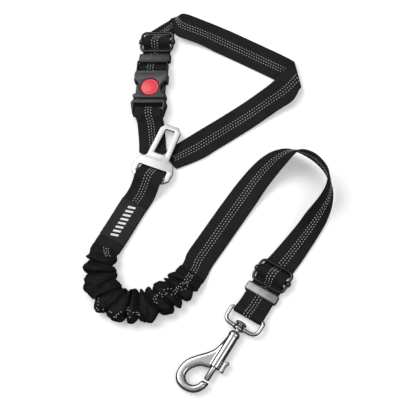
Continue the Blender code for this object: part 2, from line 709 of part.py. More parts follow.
def snap_body():
    x = SNAP_X
    z = EYE_HEIGHT
    hook_points = [
        (x - 1.2, -64.0), (x - 3.6, -71.0), (x - 7.4, -77.5), (x - 12.4, -83.6), (x - 17.0, -89.6),
        (x - 19.6, -96.0), (x - 19.4, -102.2), (x - 16.4, -106.8), (x - 11.6, -109.0), (x - 6.4, -108.2), (x - 2.4, -105.2),
        (x - 0.2, -101.6), (x + 0.4, -98.4),
    ]
    centre = [(p.x, p.y, z) for p in smooth_route([(a, b, 0) for a, b in hook_points], 2)]
    count = len(centre)
    radii = [1.0 - 0.22 * (max(0.0, index / (count - 1) - 0.55) / 0.45) for index in range(count)]
    hook = as_mesh(wire("hook_wire", centre, HOOK_WIRE, leash_end, cutters, sides=3, radii=radii), cutters)
    body = cylinder("snap_body", (x, BARREL_TOP, z), (x, BARREL_BOTTOM, z), BARREL_RADIUS, leash_end, sides=28)
    bevelled(body, 0.8, 2)
    bore = cylinder("barrel_bore", (x, BARREL_TOP - 5.0, z), (x, BARREL_BOTTOM - 1.0, z), BORE_RADIUS,
                    leash_end, cutters, 20)
    slot = box("barrel_slot", (x, BOLT_TOP - 8.4, z - 1.3), (x + 8, BOLT_TOP + 7.4, z + 1.3),
               leash_end, cutters)
    join(body, hook)
    cut(body, bore, slot)
    return finish(smooth(body), "nickel")


swivel_eye()
swivel_post()
snap_body()
finish(smooth(cylinder("snap_bolt", (SNAP_X, BOLT_TOP, EYE_HEIGHT), (SNAP_X, BOLT_TIP, EYE_HEIGHT), BOLT_RADIUS,
                       leash_end, sides=20)), "nickel")
stud = cylinder("thumb_stud", (SNAP_X + BOLT_RADIUS + 0.3, BOLT_TOP - 6.4, EYE_HEIGHT),
                (SNAP_X + 7.4, BOLT_TOP - 6.4, EYE_HEIGHT), 1.0, leash_end, sides=16)
stud_head = cylinder("stud_head", (SNAP_X + 6.2, BOLT_TOP - 6.4, EYE_HEIGHT),
                     (SNAP_X + 8.6, BOLT_TOP - 6.4, EYE_HEIGHT), 2.6, leash_end, cutters, 20)
finish(join(stud, stud_head), "nickel")
spring("bolt_spring", (SNAP_X, BOLT_TOP + 0.8, EYE_HEIGHT), (SNAP_X, BARREL_TOP - 6.0, EYE_HEIGHT), 1.9, 0.3, 6,
       leash_end)
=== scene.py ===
import random
from math import cos, exp, pi, radians, sin

import bpy
from mathutils import Matrix, Vector, noise


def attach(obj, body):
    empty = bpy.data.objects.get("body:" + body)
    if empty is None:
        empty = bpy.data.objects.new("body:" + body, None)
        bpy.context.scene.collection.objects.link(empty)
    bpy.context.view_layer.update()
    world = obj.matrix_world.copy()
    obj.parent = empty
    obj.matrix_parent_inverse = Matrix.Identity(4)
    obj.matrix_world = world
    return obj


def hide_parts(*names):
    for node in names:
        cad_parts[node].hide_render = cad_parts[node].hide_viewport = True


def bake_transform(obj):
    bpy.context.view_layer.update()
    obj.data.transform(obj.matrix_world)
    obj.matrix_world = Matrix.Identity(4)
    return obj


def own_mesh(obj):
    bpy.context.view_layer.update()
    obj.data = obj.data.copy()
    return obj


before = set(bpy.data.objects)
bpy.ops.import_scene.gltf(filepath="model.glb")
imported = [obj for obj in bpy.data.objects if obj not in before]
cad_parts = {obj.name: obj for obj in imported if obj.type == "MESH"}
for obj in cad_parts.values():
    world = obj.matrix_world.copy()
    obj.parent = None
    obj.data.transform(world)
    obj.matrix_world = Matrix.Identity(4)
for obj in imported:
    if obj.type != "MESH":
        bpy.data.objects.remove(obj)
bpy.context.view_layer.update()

print("frame loaded:", len(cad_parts), "nodes")

mm = 0.001  # every length below is written in millimetres


# where the parts of the leash lie on the table
def localFrame(x, y, turn):
    layoutMiddle = (7.78, 8.41)
    place = Vector(((x - layoutMiddle[0]) * mm, (y - layoutMiddle[1]) * mm, 0))
    return Matrix.Translation(place) @ Matrix.Rotation(radians(turn), 4, "Z")


layoutFrame = localFrame(0, 0, 0)
leashEndFrame = localFrame(58.6, -70.5, -32.5)
buckleFrame = localFrame(-42.6, 104.3, -4)
tongueFrame = localFrame(-42.5, 20.4, -23)


# camera first, because the cords are measured against its view
cameraSet = {"place": (98.38, -331.43, 776.51), "turn": 16.53, "tilt": 24.0, "roll": -18.0, "lens": 92.2}
cameraData = bpy.data.cameras.new("camera")
cameraData.lens = cameraSet["lens"]
cameraData.sensor_width = 36
camera = bpy.data.objects.new("camera", cameraData)
bpy.context.scene.collection.objects.link(camera)
camera.matrix_world = (
    Matrix.Translation(layoutFrame @ (Vector(cameraSet["place"]) * mm))
    @ Matrix.Rotation(radians(cameraSet["turn"]), 4, "Z")
    @ Matrix.Rotation(radians(cameraSet["tilt"]), 4, "X")
    @ Matrix.Rotation(radians(cameraSet["roll"]), 4, "Z"))
bpy.context.scene.camera = camera


# materials
def newMaterial(name, colour, roughness, metallic=0.0, **sockets):
    mat = bpy.data.materials.new(name)
    mat.use_nodes = True
    shader = mat.node_tree.nodes["Principled BSDF"]
    shader.inputs["Base Color"].default_value = (*colour, 1)
    shader.inputs["Roughness"].default_value = roughness
    shader.inputs["Metallic"].default_value = metallic
    for socket, value in sockets.items():
        shader.inputs[socket.replace("_", " ")].default_value = value
    return mat, shader


def addNode(mat, kind, values=None, **settings):
    made = mat.node_tree.nodes.new(kind)
    for key, value in settings.items():
        setattr(made, key, value)
    for key, value in (values or {}).items():
        made.inputs[key].default_value = value
    return made


def maths(mat, operation, first, second=None):
    made = addNode(mat, "ShaderNodeMath", operation=operation)
    for index, value in enumerate((first, second)):
        if isinstance(value, (int, float)):
            made.inputs[index].default_value = value
        elif value is not None:
            mat.node_tree.links.new(value, made.inputs[index])
    return made.outputs[0]


def noiseOf(mat, vector, scale, detail=3.0, roughness=0.55):
    made = addNode(mat, "ShaderNodeTexNoise", {"Scale": scale, "Detail": detail, "Roughness": roughness})
    mat.node_tree.links.new(vector, made.inputs["Vector"])
    return made.outputs["Fac"]


def blendColours(mat, shader, factor, low, high, position=(0.3, 0.7)):
    ramp = addNode(mat, "ShaderNodeValToRGB")
    ramp.color_ramp.elements[0].position = position[0]
    ramp.color_ramp.elements[1].position = position[1]
    ramp.color_ramp.elements[0].color = (*low, 1)
    ramp.color_ramp.elements[1].color = (*high, 1)
    mat.node_tree.links.new(factor, ramp.inputs["Fac"])
    mat.node_tree.links.new(ramp.outputs["Color"], shader.inputs["Base Color"])


def spreadRoughness(mat, shader, factor, low, high):
    made = addNode(mat, "ShaderNodeMapRange", {"To Min": low, "To Max": high})
    mat.node_tree.links.new(factor, made.inputs["Value"])
    mat.node_tree.links.new(made.outputs["Result"], shader.inputs["Roughness"])


def bumpFrom(mat, shader, height, strength, distance):
    made = addNode(mat, "ShaderNodeBump", {"Strength": strength, "Distance": distance})
    mat.node_tree.links.new(height, made.inputs["Height"])
    mat.node_tree.links.new(made.outputs["Normal"], shader.inputs["Normal"])


def objectPlace(mat):
    return addNode(mat, "ShaderNodeTexCoord").outputs["Object"]


# woven cloth; the piece's UV map is in millimetres, along by across
def wovenMaterial(name, low, high, ribs, bump, roughness=(0.55, 0.8), sheen=0.25, shine=0.35):
    mat, shader = newMaterial(name, low, 0.7, Sheen_Weight=sheen, Sheen_Roughness=0.45)
    shader.inputs["Specular IOR Level"].default_value = shine
    place = addNode(mat, "ShaderNodeTexCoord").outputs["UV"]
    parts = addNode(mat, "ShaderNodeSeparateXYZ")
    mat.node_tree.links.new(place, parts.inputs[0])
    along = maths(mat, "SINE", maths(mat, "MULTIPLY", parts.outputs[0], 2 * pi / ribs[0]))
    across = maths(mat, "SINE", maths(mat, "MULTIPLY", parts.outputs[1], 2 * pi / ribs[1]))
    weave = maths(mat, "MULTIPLY", along, across)
    rib = maths(mat, "MULTIPLY", maths(mat, "ABSOLUTE", along), 0.6)
    fuzz = noiseOf(mat, place, 1.6, 4.0)
    height = maths(mat, "ADD", maths(mat, "ADD", weave, rib), fuzz)
    bumpFrom(mat, shader, height, bump, 0.0003)
    broad = noiseOf(mat, objectPlace(mat), 46.0, 5.0, 0.65)
    shade = maths(mat, "ADD", maths(mat, "MULTIPLY", height, 0.14), maths(mat, "MULTIPLY", broad, 0.8))
    blendColours(mat, shader, shade, low, high, (0.25, 0.85))
    spreadRoughness(mat, shader, fuzz, *roughness)
    return mat


# moulded plastic with a fine spark-eroded grain and slight mottling
def mouldedMaterial(name, low, high, grain, roughness):
    mat, shader = newMaterial(name, low, roughness[0])
    place = objectPlace(mat)
    fine = noiseOf(mat, place, 3200.0, 2.0)
    broad = noiseOf(mat, place, 90.0, 4.0, 0.6)
    blendColours(mat, shader, broad, low, high)
    spreadRoughness(mat, shader, fine, *roughness)
    bumpFrom(mat, shader, fine, grain, 0.00008)
    return mat


# plated or stamped metal: stretched grain, and handling marks in the gloss
def metalMaterial(name, low, high, roughness, grainScale, bump, metallic=1.0, coat=0.0, markScale=260.0):
    mat, shader = newMaterial(name, low, roughness[0], metallic, Coat_Weight=coat, Coat_Roughness=0.08)
    place = objectPlace(mat)
    stretch = addNode(mat, "ShaderNodeMapping", {"Scale": grainScale, "Rotation": (0, 0, radians(28))})
    mat.node_tree.links.new(place, stretch.inputs["Vector"])
    grain = noiseOf(mat, stretch.outputs["Vector"], 1.0, 4.0)
    marks = noiseOf(mat, place, markScale, 3.0, 0.5)
    blendColours(mat, shader, marks, low, high)
    spreadRoughness(mat, shader, marks, *roughness)
    bumpFrom(mat, shader, grain, bump, 0.00004)
    return mat


materials = {
    "webbing": wovenMaterial(
        "webbing", (0.0022, 0.0022, 0.0024), (0.0150, 0.0150, 0.0158),
        (1.25, 1.5), 0.5, (0.58, 0.82), 0.03, 0.24),
    "cover": wovenMaterial(
        "gathered cloth", (0.0010, 0.0010, 0.0011), (0.0060, 0.0060, 0.0065),
        (1.0, 1.1), 0.35, (0.42, 0.66), 0.02, 0.2),
    "label": wovenMaterial(
        "label satin", (0.0020, 0.0020, 0.0024), (0.0090, 0.0090, 0.0100),
        (0.5, 0.45), 0.2, (0.42, 0.55), 0.03, 0.24),
    "print": wovenMaterial(
        "label print", (0.80, 0.80, 0.80), (0.94, 0.94, 0.94),
        (0.5, 0.45), 0.2, (0.5, 0.65), 0.0),
    "stitch": wovenMaterial(
        "reflective thread", (0.50, 0.50, 0.51), (0.80, 0.80, 0.81),
        (0.5, 0.4), 0.3, (0.35, 0.5), 0.0),
    "darkStitch": wovenMaterial(
        "sewing thread", (0.006, 0.006, 0.006), (0.022, 0.022, 0.023),
        (0.5, 0.4), 0.3),
    "elastic": wovenMaterial(
        "rubber core", (0.42, 0.41, 0.38), (0.62, 0.60, 0.56),
        (1.6, 0.9), 0.6),
    "buckle": mouldedMaterial(
        "buckle plastic", (0.030, 0.030, 0.031), (0.050, 0.050, 0.052),
        0.35, (0.36, 0.52)),
    "base": mouldedMaterial(
        "buckle base plastic", (0.008, 0.008, 0.009), (0.018, 0.018, 0.019),
        0.35, (0.34, 0.50)),
    "button": mouldedMaterial(
        "lock button plastic", (0.84, 0.040, 0.066), (0.93, 0.058, 0.092),
        0.12, (0.26, 0.36)),
    "gunmetal": metalMaterial(
        "black lacquered wire", (0.016, 0.016, 0.017), (0.036, 0.036, 0.038),
        (0.20, 0.34), (900, 900, 900), 0.05, 0.75, 0.6),
    "keeperDark": metalMaterial(
        "dark keeper metal", (0.040, 0.040, 0.042), (0.070, 0.070, 0.073),
        (0.38, 0.52), (300, 2600, 2600), 0.15, 0.7),
    "keeperLight": metalMaterial(
        "satin keeper metal", (0.24, 0.24, 0.245), (0.36, 0.36, 0.365),
        (0.32, 0.46), (300, 2600, 2600), 0.15),
    "steel": metalMaterial(
        "stamped steel", (0.46, 0.46, 0.46), (0.56, 0.56, 0.56),
        (0.34, 0.48), (240, 3000, 3000), 0.16),
    "nickel": metalMaterial(
        "nickel plate", (0.46, 0.46, 0.47), (0.54, 0.54, 0.55),
        (0.16, 0.24), (180, 420, 420), 0.006, markScale=60.0),
    "spring": metalMaterial(
        "spring wire", (0.50, 0.50, 0.51), (0.66, 0.66, 0.67),
        (0.22, 0.34), (900, 900, 900), 0.1),
}
print("materials ready:", len(materials))


# modelling helpers
def clearSelection():
    if bpy.context.mode != "OBJECT":
        bpy.ops.object.mode_set(mode="OBJECT")
    bpy.ops.object.select_all(action="DESELECT")


def pick(obj):
    clearSelection()
    obj.select_set(True)
    bpy.context.view_layer.objects.active = obj


def applyModifier(obj, kind, **settings):
    pick(obj)
    step = obj.modifiers.new("step", kind)
    for key, value in settings.items():
        setattr(step, key, value)
    bpy.ops.object.modifier_apply(modifier=step.name)
    return obj


def weld(obj, distance=0.000002):
    pick(obj)
    bpy.ops.object.mode_set(mode="EDIT")
    bpy.ops.mesh.select_all(action="SELECT")
    bpy.ops.mesh.remove_doubles(threshold=distance)
    bpy.ops.mesh.normals_make_consistent(inside=False)
    bpy.ops.object.mode_set(mode="OBJECT")
    return obj


# a grid whose points go where placeAt(along, across) says, both from 0 to 1
def gridPiece(name, rows, columns, placeAt):
    clearSelection()
    bpy.ops.mesh.primitive_grid_add(x_subdivisions=rows, y_subdivisions=columns, size=1)
    obj = bpy.context.active_object
    obj.name = name
    shares = [(vert.co.x + 0.5, vert.co.y + 0.5) for vert in obj.data.vertices]
    for vert, (along, across) in zip(obj.data.vertices, shares):
        vert.co = placeAt(along, across)
    return obj, shares


def setUv(obj, shares, length, width):
    layer = obj.data.uv_layers.active or obj.data.uv_layers.new(name="UVMap")
    for loop in obj.data.loops:
        along, across = shares[loop.vertex_index]
        layer.data[loop.index].uv = (along * length, across * width)


def boxPiece(name, low, high):
    clearSelection()
    low, high = Vector(low) * mm, Vector(high) * mm
    bpy.ops.mesh.primitive_cube_add(size=1, location=(low + high) / 2)
    obj = bpy.context.active_object
    obj.name = name
    obj.scale = high - low
    bpy.ops.object.transform_apply(location=True, rotation=True, scale=True)
    return obj


# a turned part: profile gives (distance along the axis, radius), from end to end
def turnedPiece(name, start, axis, profile, around=40):
    start, axis = Vector(start) * mm, Vector(axis).normalized()
    side = axis.orthogonal().normalized()
    other = axis.cross(side)
    last = len(profile) - 1

    def placeAt(along, across):
        reach, radius = profile[round(along * last)]
        turn = 2 * pi * across
        return start + axis * reach * mm + (side * cos(turn) + other * sin(turn)) * radius * mm

    obj, _ = gridPiece(name, last, around, placeAt)
    return weld(obj)


# a round wire along a path; an open one gets rounded ends
def sweptPiece(name, path, radii, around=16, closed=False):
    path = [Vector(point) * mm for point in path]
    radii = [radius * mm for radius in (radii if isinstance(radii, list) else [radii] * len(path))]
    count = len(path)
    frames = []
    normal = None
    for index in range(count):
        ahead = path[(index + 1) % count] if closed or index < count - 1 else path[index]
        behind = path[index - 1] if closed or index > 0 else path[index]
        along = (ahead - behind).normalized()
        if normal is None:
            normal = Vector((0, 0, 1)) if abs(along.z) < 0.9 else Vector((1, 0, 0))
        normal = (normal - along * normal.dot(along)).normalized()
        frames.append((along, normal.copy(), along.cross(normal)))
    rings = [(path[i], radii[i], *frames[i][1:]) for i in range(count)]
    if closed:
        rings.append(rings[0])
    else:
        first, last = [], []
        for step in range(4):
            turn = step * pi / 8
            tip, tail = frames[0][0] * radii[0] * cos(turn), frames[-1][0] * radii[-1] * cos(turn)
            first.append((path[0] - tip, radii[0] * sin(turn), *frames[0][1:]))
            last.insert(0, (path[-1] + tail, radii[-1] * sin(turn), *frames[-1][1:]))
        rings = first + rings + last
    rows = len(rings) - 1

    def placeAt(along, across):
        point, radius, normal, side = rings[round(along * rows)]
        turn = 2 * pi * across
        return point + (normal * cos(turn) + side * sin(turn)) * radius

    obj, _ = gridPiece(name, rows, around, placeAt)
    return weld(obj)


# a flat part cut from plate, with every edge rounded by rim
def platePiece(name, outlines, height, thickness, rim, rimSteps=2):
    curve = bpy.data.curves.new(name, "CURVE")
    curve.dimensions = "2D"
    curve.fill_mode = "BOTH"
    curve.extrude = (thickness / 2 - rim) * mm
    curve.bevel_depth = rim * mm
    curve.bevel_resolution = rimSteps
    curve.offset = -rim * mm
    for outline in outlines:
        spline = curve.splines.new("POLY")
        spline.points.add(len(outline) - 1)
        for point, (x, y) in zip(spline.points, outline):
            point.co = (x * mm, y * mm, 0, 1)
        spline.use_cyclic_u = True
    obj = bpy.data.objects.new(name, curve)
    bpy.context.scene.collection.objects.link(obj)
    obj.location.z = height * mm
    pick(obj)
    bpy.ops.object.convert(target="MESH")
    obj = bpy.context.active_object
    bpy.ops.object.transform_apply(location=True, rotation=True, scale=True)
    return weld(obj, 0.00001)


def carve(obj, *tools, operation="DIFFERENCE"):
    for tool in tools:
        applyModifier(obj, "BOOLEAN", operation=operation, object=tool, solver="EXACT")
        bpy.data.objects.remove(tool)
    return obj


def joined(obj, *others):
    pick(obj)
    for other in others:
        other.select_set(True)
    bpy.ops.object.join()
    return bpy.context.active_object


def softenEdges(obj, width, segments=2, angle=35):
    return applyModifier(obj, "BEVEL", width=width * mm, segments=segments, limit_method="ANGLE",
                         angle_limit=radians(angle), harden_normals=False)


# runs separate shells into one smooth casting
def cast(obj, voxel, rounds):
    applyModifier(obj, "REMESH", mode="VOXEL", voxel_size=voxel * mm)
    return applyModifier(obj, "SMOOTH", factor=0.5, iterations=rounds)


def smoothShade(obj, angle=40):
    pick(obj)
    bpy.ops.object.shade_smooth_by_angle(angle=radians(angle))
    return obj


# puts the piece in the common frame, gives it its finish and body, and hides the parts it stands in for
def finishPiece(obj, place, finish, body, replaced=(), angle=40):
    obj.data.transform(place @ obj.matrix_world)
    obj.matrix_world = Matrix.Identity(4)
    smoothShade(obj, angle)
    obj.data.materials.clear()
    obj.data.materials.append(materials[finish])
    if replaced:
        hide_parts(*replaced)
    if body:
        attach(obj, body)
    return obj


def roundedOutline(corners, steps=6):
    outline = []
    count = len(corners)
    for index, (x, y, radius) in enumerate(corners):
        here = Vector((x, y))
        before = Vector(corners[index - 1][:2]) - here
        after = Vector(corners[(index + 1) % count][:2]) - here
        if radius == 0:
            outline.append((x, y))
            continue
        half = before.angle(after) / 2
        reach = radius / max(0.05, abs(sin(half) / cos(half)))
        start = here + before.normalized() * reach
        end = here + after.normalized() * reach
        for step in range(steps + 1):
            share = step / steps
            point = start.lerp(here, share).lerp(here.lerp(end, share), share)
            outline.append((point.x, point.y))
    return outline


def bothSides(rightSide):
    return rightSide + [(-x, y, radius) for x, y, radius in reversed(rightSide)]


def smoothRoute(points, steps, closed=False):
    route = [Vector(point) for point in points]
    if closed:
        ends = [route[-1], *route, route[0], route[1]]
    else:
        ends = [route[0] * 2 - route[1], *route, route[-1] * 2 - route[-2]]
    out = []
    for index in range(1, len(ends) - 2):
        a, b, c, d = ends[index - 1:index + 3]
        for step in range(steps):
            t = step / steps
            out.append(((b * 2) + (c - a) * t + (a * 2 - b * 5 + c * 4 - d) * t ** 2
                        + (b * 3 - a - c * 3 + d) * t ** 3) / 2)
    if not closed:
        out.append(route[-1])
    return out


# webbing: one surface function per strap, shared by its cloth and its stitches
webbing = {"width": 24.5, "thickness": 1.6, "rest": 1.0, "raise": 0.25, "crown": 0.22, "ripple": 0.16,
           "rowLength": 2.0, "columns": 14}
stitching = {"pitch": 2.45, "length": 1.2, "width": 0.62, "height": 0.34, "gap": 2.45}


def levelEdges(centre, width):
    left, right = [], []
    for index, point in enumerate(centre):
        ahead = centre[min(index + 1, len(centre) - 1)]
        behind = centre[max(index - 1, 0)]
        along = Vector((ahead.x - behind.x, ahead.y - behind.y, 0)).normalized()
        side = Vector((-along.y, along.x, 0)) * (width / 2)
        left.append(point + side)
        right.append(point - side)
    return left, right


# webbing between two edges, with its measured length and a place for each point
class Strap:
    def __init__(self, left, right, place, warp=None, startPoint=0.0, endPoint=0.0, seed=0.0):
        self.left, self.right, self.place, self.warp = left, right, place, warp
        self.startPoint, self.endPoint, self.seed = startPoint, endPoint, seed
        self.pinch = None
        self.marks = [0.0]
        for index in range(1, len(left)):
            step = ((left[index] + right[index]) - (left[index - 1] + right[index - 1])).length / 2
            self.marks.append(self.marks[-1] + step)
        self.length = self.marks[-1]

    def flatPoint(self, distance, across):
        distance = min(max(distance, 0.0), self.length)
        index = 0
        while index < len(self.marks) - 2 and self.marks[index + 1] < distance:
            index += 1
        span = max(self.marks[index + 1] - self.marks[index], 1e-9)
        share = (distance - self.marks[index]) / span
        left = self.left[index].lerp(self.left[index + 1], share)
        right = self.right[index].lerp(self.right[index + 1], share)
        point = left.lerp(right, (across + 1) / 2)
        return self.warp(point) if self.warp else point

    def normalAt(self, distance, across):
        reach = min(max(distance, 0.6), self.length - 0.6)
        ahead = self.flatPoint(reach + 0.5, across) - self.flatPoint(reach - 0.5, across)
        aside = self.flatPoint(reach, across * 0.9 + 0.05) - self.flatPoint(reach, across * 0.9 - 0.05)
        return aside.cross(ahead).normalized(), ahead.normalized()

    # a point of the cloth in metres, lifted off its middle by lift millimetres
    def point(self, distance, across, lift=0.0):
        if self.pinch:
            across *= 1 - self.pinch(distance, across)
        point = self.flatPoint(distance, across)
        normal, _ = self.normalAt(distance, across)
        point.z += webbing["raise"]
        wave = noise.noise(Vector((distance * 0.09 + self.seed, across * 1.3, self.seed)))
        bow = webbing["crown"] * (1 - across * across) + webbing["ripple"] * wave * across * across
        return self.place @ ((point + normal * (bow + lift)) * mm)

    # distance along the strap, with its two ends drawn out to a point
    def shiftedEnds(self, along, across):
        distance = along * self.length
        distance += self.startPoint * abs(across) ** 1.3 * (1 - along) ** 9
        return distance - self.endPoint * abs(across) ** 1.3 * along ** 9


def strapPiece(name, strap, body, replaced, finish="webbing"):
    rows = max(12, int(strap.length / webbing["rowLength"]))

    def placeAt(along, across):
        side = across * 2 - 1
        return strap.point(strap.shiftedEnds(along, side), side)

    obj, shares = gridPiece(name, rows, webbing["columns"], placeAt)
    setUv(obj, shares, strap.length, webbing["width"])
    applyModifier(obj, "SOLIDIFY", thickness=webbing["thickness"] * mm, offset=0)
    applyModifier(obj, "SUBSURF", levels=1, render_levels=1)
    return finishPiece(obj, Matrix.Identity(4), finish, body, replaced, 60)


# one mesh of raised stitches; each place is (point, along, aside, up, length, width, height)
def stitchMesh(name, places, finish, body):
    corners = [(-0.5, -0.5, 0), (0.5, -0.5, 0), (0.5, 0.5, 0), (-0.5, 0.5, 0),
               (-0.34, -0.3, 1), (0.34, -0.3, 1), (0.34, 0.3, 1), (-0.34, 0.3, 1)]
    sides = [(3, 2, 1, 0), (4, 5, 6, 7), (0, 1, 5, 4), (1, 2, 6, 5), (2, 3, 7, 6), (3, 0, 4, 7)]
    points, faces = [], []
    for point, along, aside, up, length, width, height in places:
        base = len(points)
        for x, y, z in corners:
            points.append(point + (along * x * length + aside * y * width + up * (z * height)) * mm)
        faces += [tuple(base + corner for corner in side) for side in sides]
    mesh = bpy.data.meshes.new(name)
    mesh.from_pydata(points, [], faces)
    mesh.update()
    obj = bpy.data.objects.new(name, mesh)
    bpy.context.scene.collection.objects.link(obj)
    weld(obj, 0.0000005)
    layer = obj.data.uv_layers.new(name="UVMap")
    for loop in obj.data.loops:
        spot = obj.data.vertices[loop.vertex_index].co
        layer.data[loop.index].uv = (spot.x / mm, spot.y / mm)
    return finishPiece(obj, Matrix.Identity(4), finish, body, (), 20)


def strapStitches(name, strap, body, shift, start=2.0, end=2.0, sides=(1, -1), bendShift=None):
    places = []
    half = webbing["width"] / 2
    for side in sides:
        for line in (-1, 0, 1):
            distance = start + (0.9 if line == 0 else 0.0)
            while distance < strap.length - end:
                moved = shift + (bendShift(distance) if bendShift else 0.0)
                across = (moved + line * stitching["gap"]) / half
                normal, ahead = strap.normalAt(distance, across)
                point = strap.point(distance, across, side * (webbing["thickness"] / 2 - 0.12))
                turn = strap.place.to_3x3()
                ahead, up = turn @ ahead, turn @ normal * side
                places.append((point, ahead, ahead.cross(up), up,
                               stitching["length"], stitching["width"], stitching["height"]))
                distance += stitching["pitch"]
    return stitchMesh(name, places, "stitch", body)


# the two halves of a diagonal fold: one opens the lower layer flat, one folds it again
def foldAt(point, lineAngle, radius):
    at = Vector((*point, 0))
    line = Vector((cos(radians(lineAngle)), sin(radians(lineAngle)), 0))
    beyond = Vector((line.y, -line.x, 0))

    def unfold(spot):
        flat = Vector(spot) - at
        reach = pi * radius - flat.dot(beyond)
        place = at + line * flat.dot(line) + beyond * reach
        return Vector((place.x, place.y, spot[2] + 2 * radius))

    def fold(spot):
        offset = spot - at
        reach = offset.dot(beyond)
        along = at + line * offset.dot(line)
        if reach <= 0:
            return spot.copy()
        turn = reach / radius
        side = radius * sin(turn) if turn < pi else pi * radius - reach
        drop = radius * (1 - cos(turn)) if turn < pi else 2 * radius
        place = along + beyond * side
        return Vector((place.x, place.y, spot.z - drop))

    return unfold, fold


def centreLine(strap, step=6.0):
    count = max(8, int(strap.length / step))
    return [strap.point(strap.length * index / count, 0) for index in range(count + 1)]


def declareCord(obj, strap):
    path = centreLine(strap)
    length = sum((b - a).length for a, b in zip(path, path[1:]))
    tuple(path[0])
    [tuple(point) for point in path]
    print(obj.name, "length", round(length, 4))


# headrest loop: right leg, corner fold and top run
rest = webbing["rest"]
cornerSet = {"fold": (83.2, 107.6), "lineAngle": 101.0, "radius": 2.2, "outerPinch": 0.34, "outerReach": 8.0,
             "innerPinch": 0.08, "innerReach": 4.5, "clearEnds": 60.0}
unfoldCorner, foldCorner = foldAt(cornerSet["fold"], cornerSet["lineAngle"], cornerSet["radius"])
cornerTop = rest + 2 * cornerSet["radius"]
loopBefore = [(-26.0, 36.2, rest), (-4.0, 47.6, rest), (9.1, 55.6, rest), (26.7, 66.2, rest),
              (44.0, 76.8, 1.8), (60.5, 87.2, 4.0), (72.3, 95.8, cornerTop), (80.9, 104.8, cornerTop)]
loopAfter = [(76.0, 116.0, rest), (62.7, 124.4, rest), (50.3, 132.1, rest), (33.2, 142.6, rest)]
cornerLeft = [
    (26.5, 132.3, 1.0), (13.8, 139.6, 1.8), (1.6, 146.6, 3.6), (-10.5, 151.8, 5.6), (-19.9, 155.8, 6.8),
    (-22.7, 162.6, 7.4), (-24.2, 171.2, 7.0), (-25.6, 175.8, 4.4), (-27.6, 175.4, 1.6),
    (-32.4, 173.0, 1.0), (-40.4, 167.9, 1.0), (-48.4, 162.9, 1.0)]
cornerRight = [
    (38.9, 153.5, 1.0), (26.2, 160.8, 1.8), (13.0, 167.2, 3.6), (-0.6, 173.4, 5.6), (-9.0, 177.0, 7.0),
    (-13.1, 178.1, 7.2), (-15.8, 178.2, 6.4), (-16.9, 177.4, 4.3), (-15.2, 175.2, 1.6),
    (-13.9, 170.9, 1.0), (-16.5, 165.5, 1.0), (-24.0, 161.1, 1.0)]
loopLeft, loopRight = levelEdges([Vector(p) for p in loopBefore] + [unfoldCorner(p) for p in loopAfter],
                                 webbing["width"])
loopRight[6] += Vector((0.8, -1.6, 0))
loopRight[7] += Vector((1.8, -1.4, 0))
loopLeft[0] = Vector((-30.5, 45.5, rest))  # narrowed under the tongue
loopRight[0] = Vector((-21.5, 28.0, rest))
loopLeft = loopLeft[:-1] + [unfoldCorner(p) for p in cornerRight]
loopRight = loopRight[:-1] + [unfoldCorner(p) for p in cornerLeft]
loopStrap = Strap(smoothRoute(loopLeft, 8), smoothRoute(loopRight, 8), layoutFrame, foldCorner,
                  startPoint=1.5, seed=1.0)


def creaseAt(strap, across):
    distance = cornerSet["clearEnds"]
    last = strap.length - cornerSet["clearEnds"]
    while distance < last and strap.normalAt(distance, across)[0].z > 0:
        distance += 0.5
    return distance


creaseLow, creaseHigh = creaseAt(loopStrap, -0.95), creaseAt(loopStrap, 0.95)


def roundCorner(distance, across):
    crease = creaseLow + (creaseHigh - creaseLow) * (across + 1) / 2
    edge = "outer" if across > 0 else "inner"
    away = (distance - crease) / cornerSet[edge + "Reach"]
    return cornerSet[edge + "Pinch"] * abs(across) * exp(-away * away)


loopStrap.pinch = roundCorner
loopObj = strapPiece("loop_webbing", loopStrap, None, ["loop_strap", "loop_strap_end"])
loopStitches = strapStitches("loop_webbing_stitching", loopStrap, None, 0.6, 5.0)
declareCord(loopObj, loopStrap)
for obj in (loopObj, loopStitches):
    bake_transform(obj)

# leash webbing with its raised turn
leashLeft = [
    (-16.0, -60.4, 3.6), (-12.6, -53.4, 1.6), (-9.8, -45.6, 1.0), (1.6, -29.0, 1.0), (15.6, -8.7, 1.0),
    (27.6, 8.0, 1.0), (37.9, 20.9, 1.0), (48.9, 32.0, 1.6), (59.7, 38.4, 3.2),
    (70.6, 40.0, 5.2), (80.8, 36.8, 6.9),
    (89.2, 31.4, 7.8), (96.4, 25.4, 7.8), (102.6, 18.0, 6.8), (106.9, 9.6, 5.2), (109.2, 0.6, 3.2),
    (108.4, -10.6, 1.6), (103.6, -24.2, 1.0), (95.6, -38.2, 1.0), (82.6, -57.6, 1.0), (74.3, -68.7, 1.0)]
leashRight = [
    (2.6, -74.6, 3.6), (6.4, -67.4, 1.6), (10.2, -59.6, 1.0), (21.6, -43.2, 1.0), (35.6, -22.9, 1.2),
    (47.2, -6.8, 2.6), (56.0, 5.2, 5.4), (64.6, 14.8, 9.0), (72.0, 21.2, 14.6),
    (77.6, 24.6, 21.6), (82.6, 26.6, 28.2),
    (89.0, 25.6, 31.4), (96.4, 21.6, 32.0), (103.0, 14.6, 31.0), (106.4, 7.0, 29.2), (105.0, -1.8, 26.4),
    (99.4, -10.4, 22.4), (88.4, -20.6, 15.6), (77.4, -31.8, 8.6), (62.4, -46.6, 2.2), (53.7, -55.5, 1.0)]
leashStrap = Strap(smoothRoute(leashLeft, 8), smoothRoute(leashRight, 8), layoutFrame, seed=2.0)
leashObj = strapPiece("leash_webbing", leashStrap, "leash", ["leash_strap"])
leashStitches = strapStitches("leash_webbing_stitching", leashStrap, "leash", -0.4)
declareCord(leashObj, leashStrap)
print("long straps made")

